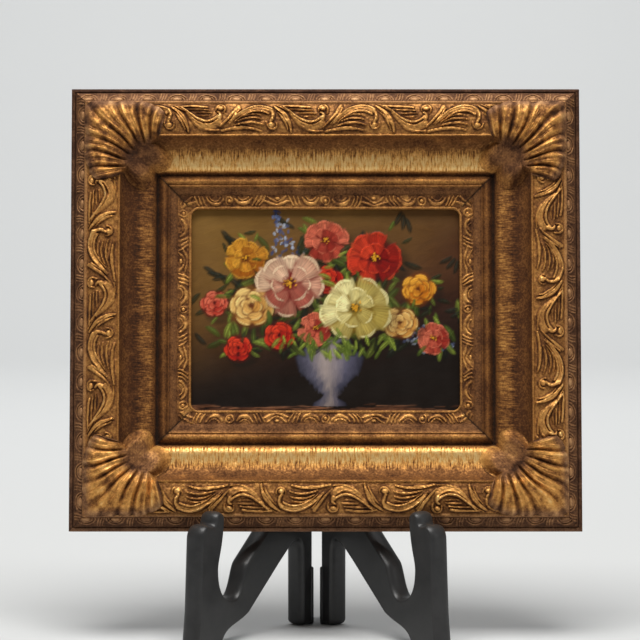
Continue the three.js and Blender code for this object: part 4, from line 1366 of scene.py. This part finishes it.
def plate_mesh(outline, thickness, edge, edge_depth):
    """A flat plate with rounded edges: places in plate measures, and faces."""
    count = len(outline)
    before = np.roll(outline, 1, axis=0)
    after = np.roll(outline, -1, axis=0)
    heading = after - before
    heading /= np.hypot(heading[:, 0], heading[:, 1])[:, None]
    turned_in = np.stack([-heading[:, 1], heading[:, 0]], axis=1)
    area = 0.5 * np.sum(outline[:, 0] * after[:, 1] - after[:, 0] * outline[:, 1])
    if area < 0:
        turned_in = -turned_in
    layers = []
    for angle in np.linspace(0, math.pi / 2, 8):
        inset = edge * (1 - math.sin(angle))
        layers.append((inset, -thickness / 2 + edge_depth * (1 - math.cos(angle))))
    layers += [(inset, -z) for inset, z in reversed(layers)]
    places = []
    for inset, z in layers:
        ring = outline + turned_in * inset
        places.append(np.column_stack([ring, np.full(count, z)]))
    faces = tube_faces(len(layers), count)
    if area > 0:
        faces = [face[::-1] for face in faces]
    return np.concatenate(places), faces


def face_advance():
    return PLATE_THICKNESS / 2 * math.sin(SPLAY)


def plate_outline():
    """The side of a stand half: depth forward of the post and height, in millimetres."""
    rise = STAND_HEIGHT - SEAT_HEIGHT
    edge = face_advance() + rise * math.tan(LEAN) + PIECE_GAP / math.cos(LEAN)
    seat = (edge - face_advance() - 2 * PIECE_GAP) / MM
    hook = (edge + face_advance() + 0.0285 * math.cos(LEAN) + 0.0007 - 2 * PIECE_GAP) / MM
    z = SEAT_HEIGHT / MM
    top = STAND_HEIGHT / MM
    post = POST_DEPTH / MM
    seat_end, seat_low, slope = seat + 17.5, z - 19, 19 / 17.5
    floor, tip, finger = 31, z + 20.3, 9.6
    cheek, shoulder, front = tip - 6.1, tip - 8.6, hook + 22.4
    toe = front + 4
    heel = toe - 24
    middle = (seat_end + hook) / 2
    under, run, crown = seat_low - 38, 29, z - 10.5
    return outline_path((-post, 0), [
        (-post, top),
        (0, top),
        (0, z + 50),
        (0, z + 28, seat - 18, z + 18 * slope, seat, z),
        (seat_end, seat_low),
        (seat_end + 4.5, seat_low - 4.5 * slope, seat_end + 5, floor, middle + 3, floor),
        (hook + 2, floor, hook + 5.5, floor + 10, hook + 5.5, seat_low - 2),
        (hook + 5, seat_low + 6, hook + 1.2, z - 7, hook, cheek),
        (hook + 0.2, tip + 1, hook + finger - 1, tip + 1.6, hook + finger, cheek),
        (hook + 10.2, shoulder - 1.6, hook + 11.6, shoulder - 1, hook + 14.6, shoulder),
        (front - 4, shoulder + 1, front - 0.5, shoulder - 3, front, shoulder - 10),
        (front + 2, floor - 5),
        (toe, 4),
        (toe - 1, 0),
        (heel, 0),
        (heel - 3, 12, heel - 14, 10, seat_end - 2, under),
        (seat_end - 2 - run, under + run * slope),
        (9.5, crown - 3),
        (4.5, crown + 1, 0.5, crown, 0, crown - 9),
        (0, 0),
    ])


def make_stand_half(name, side):
    """A splayed plate with its post and hooked arm, a spine behind and a rear foot."""
    up = np.array([0.0, 0.0, 1.0])
    ahead = np.array([side * math.sin(SPLAY), -math.cos(SPLAY), 0.0])
    flat = np.cross(ahead, up)
    corner = PLATE_THICKNESS / 2 * math.cos(SPLAY) + POST_DEPTH * math.tan(SPLAY)
    rise = STAND_HEIGHT - SEAT_HEIGHT
    edge_depth = face_advance() + rise * math.tan(LEAN) + PIECE_GAP / math.cos(LEAN)
    post_y = BACK_EDGE[1] + edge_depth
    origin = np.array([STAND_OFFSET + side * (SLOT_WIDTH / 2 + corner), post_y, 0.0])
    outline = plate_outline()
    outline[:, 0] /= math.cos(SPLAY)
    outline = rounded_corners(outline, 3.2)
    local, faces = plate_mesh(outline * MM, PLATE_THICKNESS, 0.0026, 0.0064)
    places = [origin + local[:, :1] * ahead + local[:, 1:2] * up + local[:, 2:3] * flat]

    bars = [
        ([(-12, 85), (-12, 323), (-4, 323), (-4, 85)], PIECE_GAP / 2, 0.012, 0.0014),
        ([(-4, 0), (-4, 44), (-12, 40), (-15, 30), (-20, 19), (-28, 12), (-40, 8), (-40, 0)],
         SLOT_WIDTH / 2, 0.012 - SLOT_WIDTH / 2, 0.0018),
    ]
    for points, inner, width, edge in bars:
        bar = rounded_corners(np.array(points, dtype=float), 1.8) * MM
        local, more = plate_mesh(bar, width, edge, edge)
        base = np.array([STAND_OFFSET + side * (inner + width / 2), post_y, 0.0])
        start = sum(len(p) for p in places)
        placed = base + local[:, :1] * np.array([0.0, -1.0, 0.0]) + local[:, 1:2] * up
        placed = placed + local[:, 2:3] * np.array([-1.0, 0.0, 0.0])
        places.append(placed)
        faces += [[start + i for i in face] for face in more]
    piece = mesh_object(name + "_moulded", np.concatenate(places), faces, 40)
    for polygon in piece.data.polygons:
        if len(polygon.vertices) > 4:
            polygon.use_smooth = False
    return piece


# The pieces in their places
gilt_and_light = gilding()
plastic = black_plastic()
paint = oil_paint()
mitred_moulding = moulding_tree()
boss_row = boss_row_tree()


def finish_piece(piece, node_name, material):
    if not piece.data.materials:
        piece.data.materials.append(material)
    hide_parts(node_name)
    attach(piece, "root")


for index, (name, length, reach, turn, first_cup, cove_painted_light, streak_and_sheen) in enumerate(RAILS):
    rail = make_rail(name, length, reach, turn, first_cup, cove_painted_light, streak_and_sheen, 20 + 10 * index)
    finish_piece(rail, name, gilt_and_light)
    for label, row in boss_rows(length).items():
        bosses = make_bosses(name, label, length, reach, turn, row, 60 + index)
        finish_piece(bosses, name, gilt_and_light)

# Each corner leaf: name, sides, turn, and the painted light for how that corner faces the light, brighter at
# the bottom
CORNERS = [
    ("corner_leaf_top_left", -1, 1, 0, -0.02),
    ("corner_leaf_top_right", 1, 1, -90, 0.0),
    ("corner_leaf_bottom_right", 1, -1, 180, 0.07),
    ("corner_leaf_bottom_left", -1, -1, 90, 0.07),
]
for index, (name, side, rise, turn, painted_corner_light) in enumerate(CORNERS):
    leaf = make_leaf(name, side * FRAME_WIDTH / 2, rise * FRAME_HEIGHT / 2, turn, painted_corner_light, 70 + index)
    finish_piece(leaf, name, gilt_and_light)

finish_piece(make_panel(), "painted_panel", paint)
for name, side in (("stand_left_half", -1), ("stand_right_half", 1)):
    finish_piece(make_stand_half(name, side), name, plastic)


# Floor, light and camera
CAMERA_DISTANCE = 2.0
CAMERA_RISE = math.radians(3.4)
CAMERA_LENS = 156.0
SENSOR = 36.0
AXIS_OFFSET = (-0.0040, -0.0079)


def make_sweep():
    """A pale floor that rises into a plain backdrop."""
    near, bend, radius, top = 4.0, 2.6, 1.2, 4.0
    run = [(-near, 0.0), (bend, 0.0)]
    for step in range(1, 13):
        angle = math.pi / 2 * step / 12
        run.append((bend + radius * math.sin(angle), radius * (1 - math.cos(angle))))
    run.append((bend + radius, top))
    places = [(x, y, z) for y, z in run for x in (-5.0, 5.0)]
    faces = [(2 * i, 2 * i + 1, 2 * i + 3, 2 * i + 2) for i in range(len(run) - 1)]
    sweep = mesh_object("studio_sweep", places, faces, 180)
    material, tree, shader = new_material("pale_paper")
    feed(tree, shader, {"Base Color": (0.62, 0.63, 0.63), "Roughness": 0.9})
    sweep.data.materials.append(material)


def area_light(name, place, aim, size, power, color=(1, 1, 1)):
    light = bpy.data.lights.new(name, "AREA")
    light.shape = "RECTANGLE"
    light.size, light.size_y = size
    light.energy = power
    light.color = color
    lamp = in_scene(bpy.data.objects.new(name, light))
    lamp.location = place
    lamp.rotation_euler = (Vector(aim) - Vector(place)).to_track_quat("-Z", "Y").to_euler()


make_sweep()
area_light("top_softbox", (-0.1, -0.75, 2.1), (0, 0, 0.25), (1.7, 1.1), 52, (1.0, 0.985, 0.96))
area_light("right_fill", (1.7, -1.0, 0.9), (0, 0, 0.25), (0.6, 1.0), 2.5, (1.0, 0.99, 0.97))
area_light("backdrop_wash", (0, 1.2, 2.8), (0, 3.6, 0.8), (3.0, 0.8), 92)

world = bpy.data.worlds.new("studio")
bpy.context.scene.world = world
world.use_nodes = True
background = world.node_tree.nodes["Background"]
feed(world.node_tree, background, {"Color": (0.75, 0.78, 0.8), "Strength": 0.14})

camera_data = bpy.data.cameras.new("camera")
camera_data.lens = CAMERA_LENS
camera_data.sensor_width = SENSOR
camera = in_scene(bpy.data.objects.new("camera", camera_data))
face_middle = Vector(in_row(np.array(0.0), np.array(0.0), np.array(0.015)))
looking = Vector((0, math.cos(CAMERA_RISE), -math.sin(CAMERA_RISE)))
overhead = Vector((0, math.sin(CAMERA_RISE), math.cos(CAMERA_RISE)))
target = face_middle + Vector((AXIS_OFFSET[0], 0, 0)) + overhead * AXIS_OFFSET[1]
camera.location = target - looking * CAMERA_DISTANCE
camera.rotation_euler = looking.to_track_quat("-Z", "Y").to_euler()
bpy.context.scene.camera = camera
bpy.context.scene.view_settings.view_transform = "Standard"
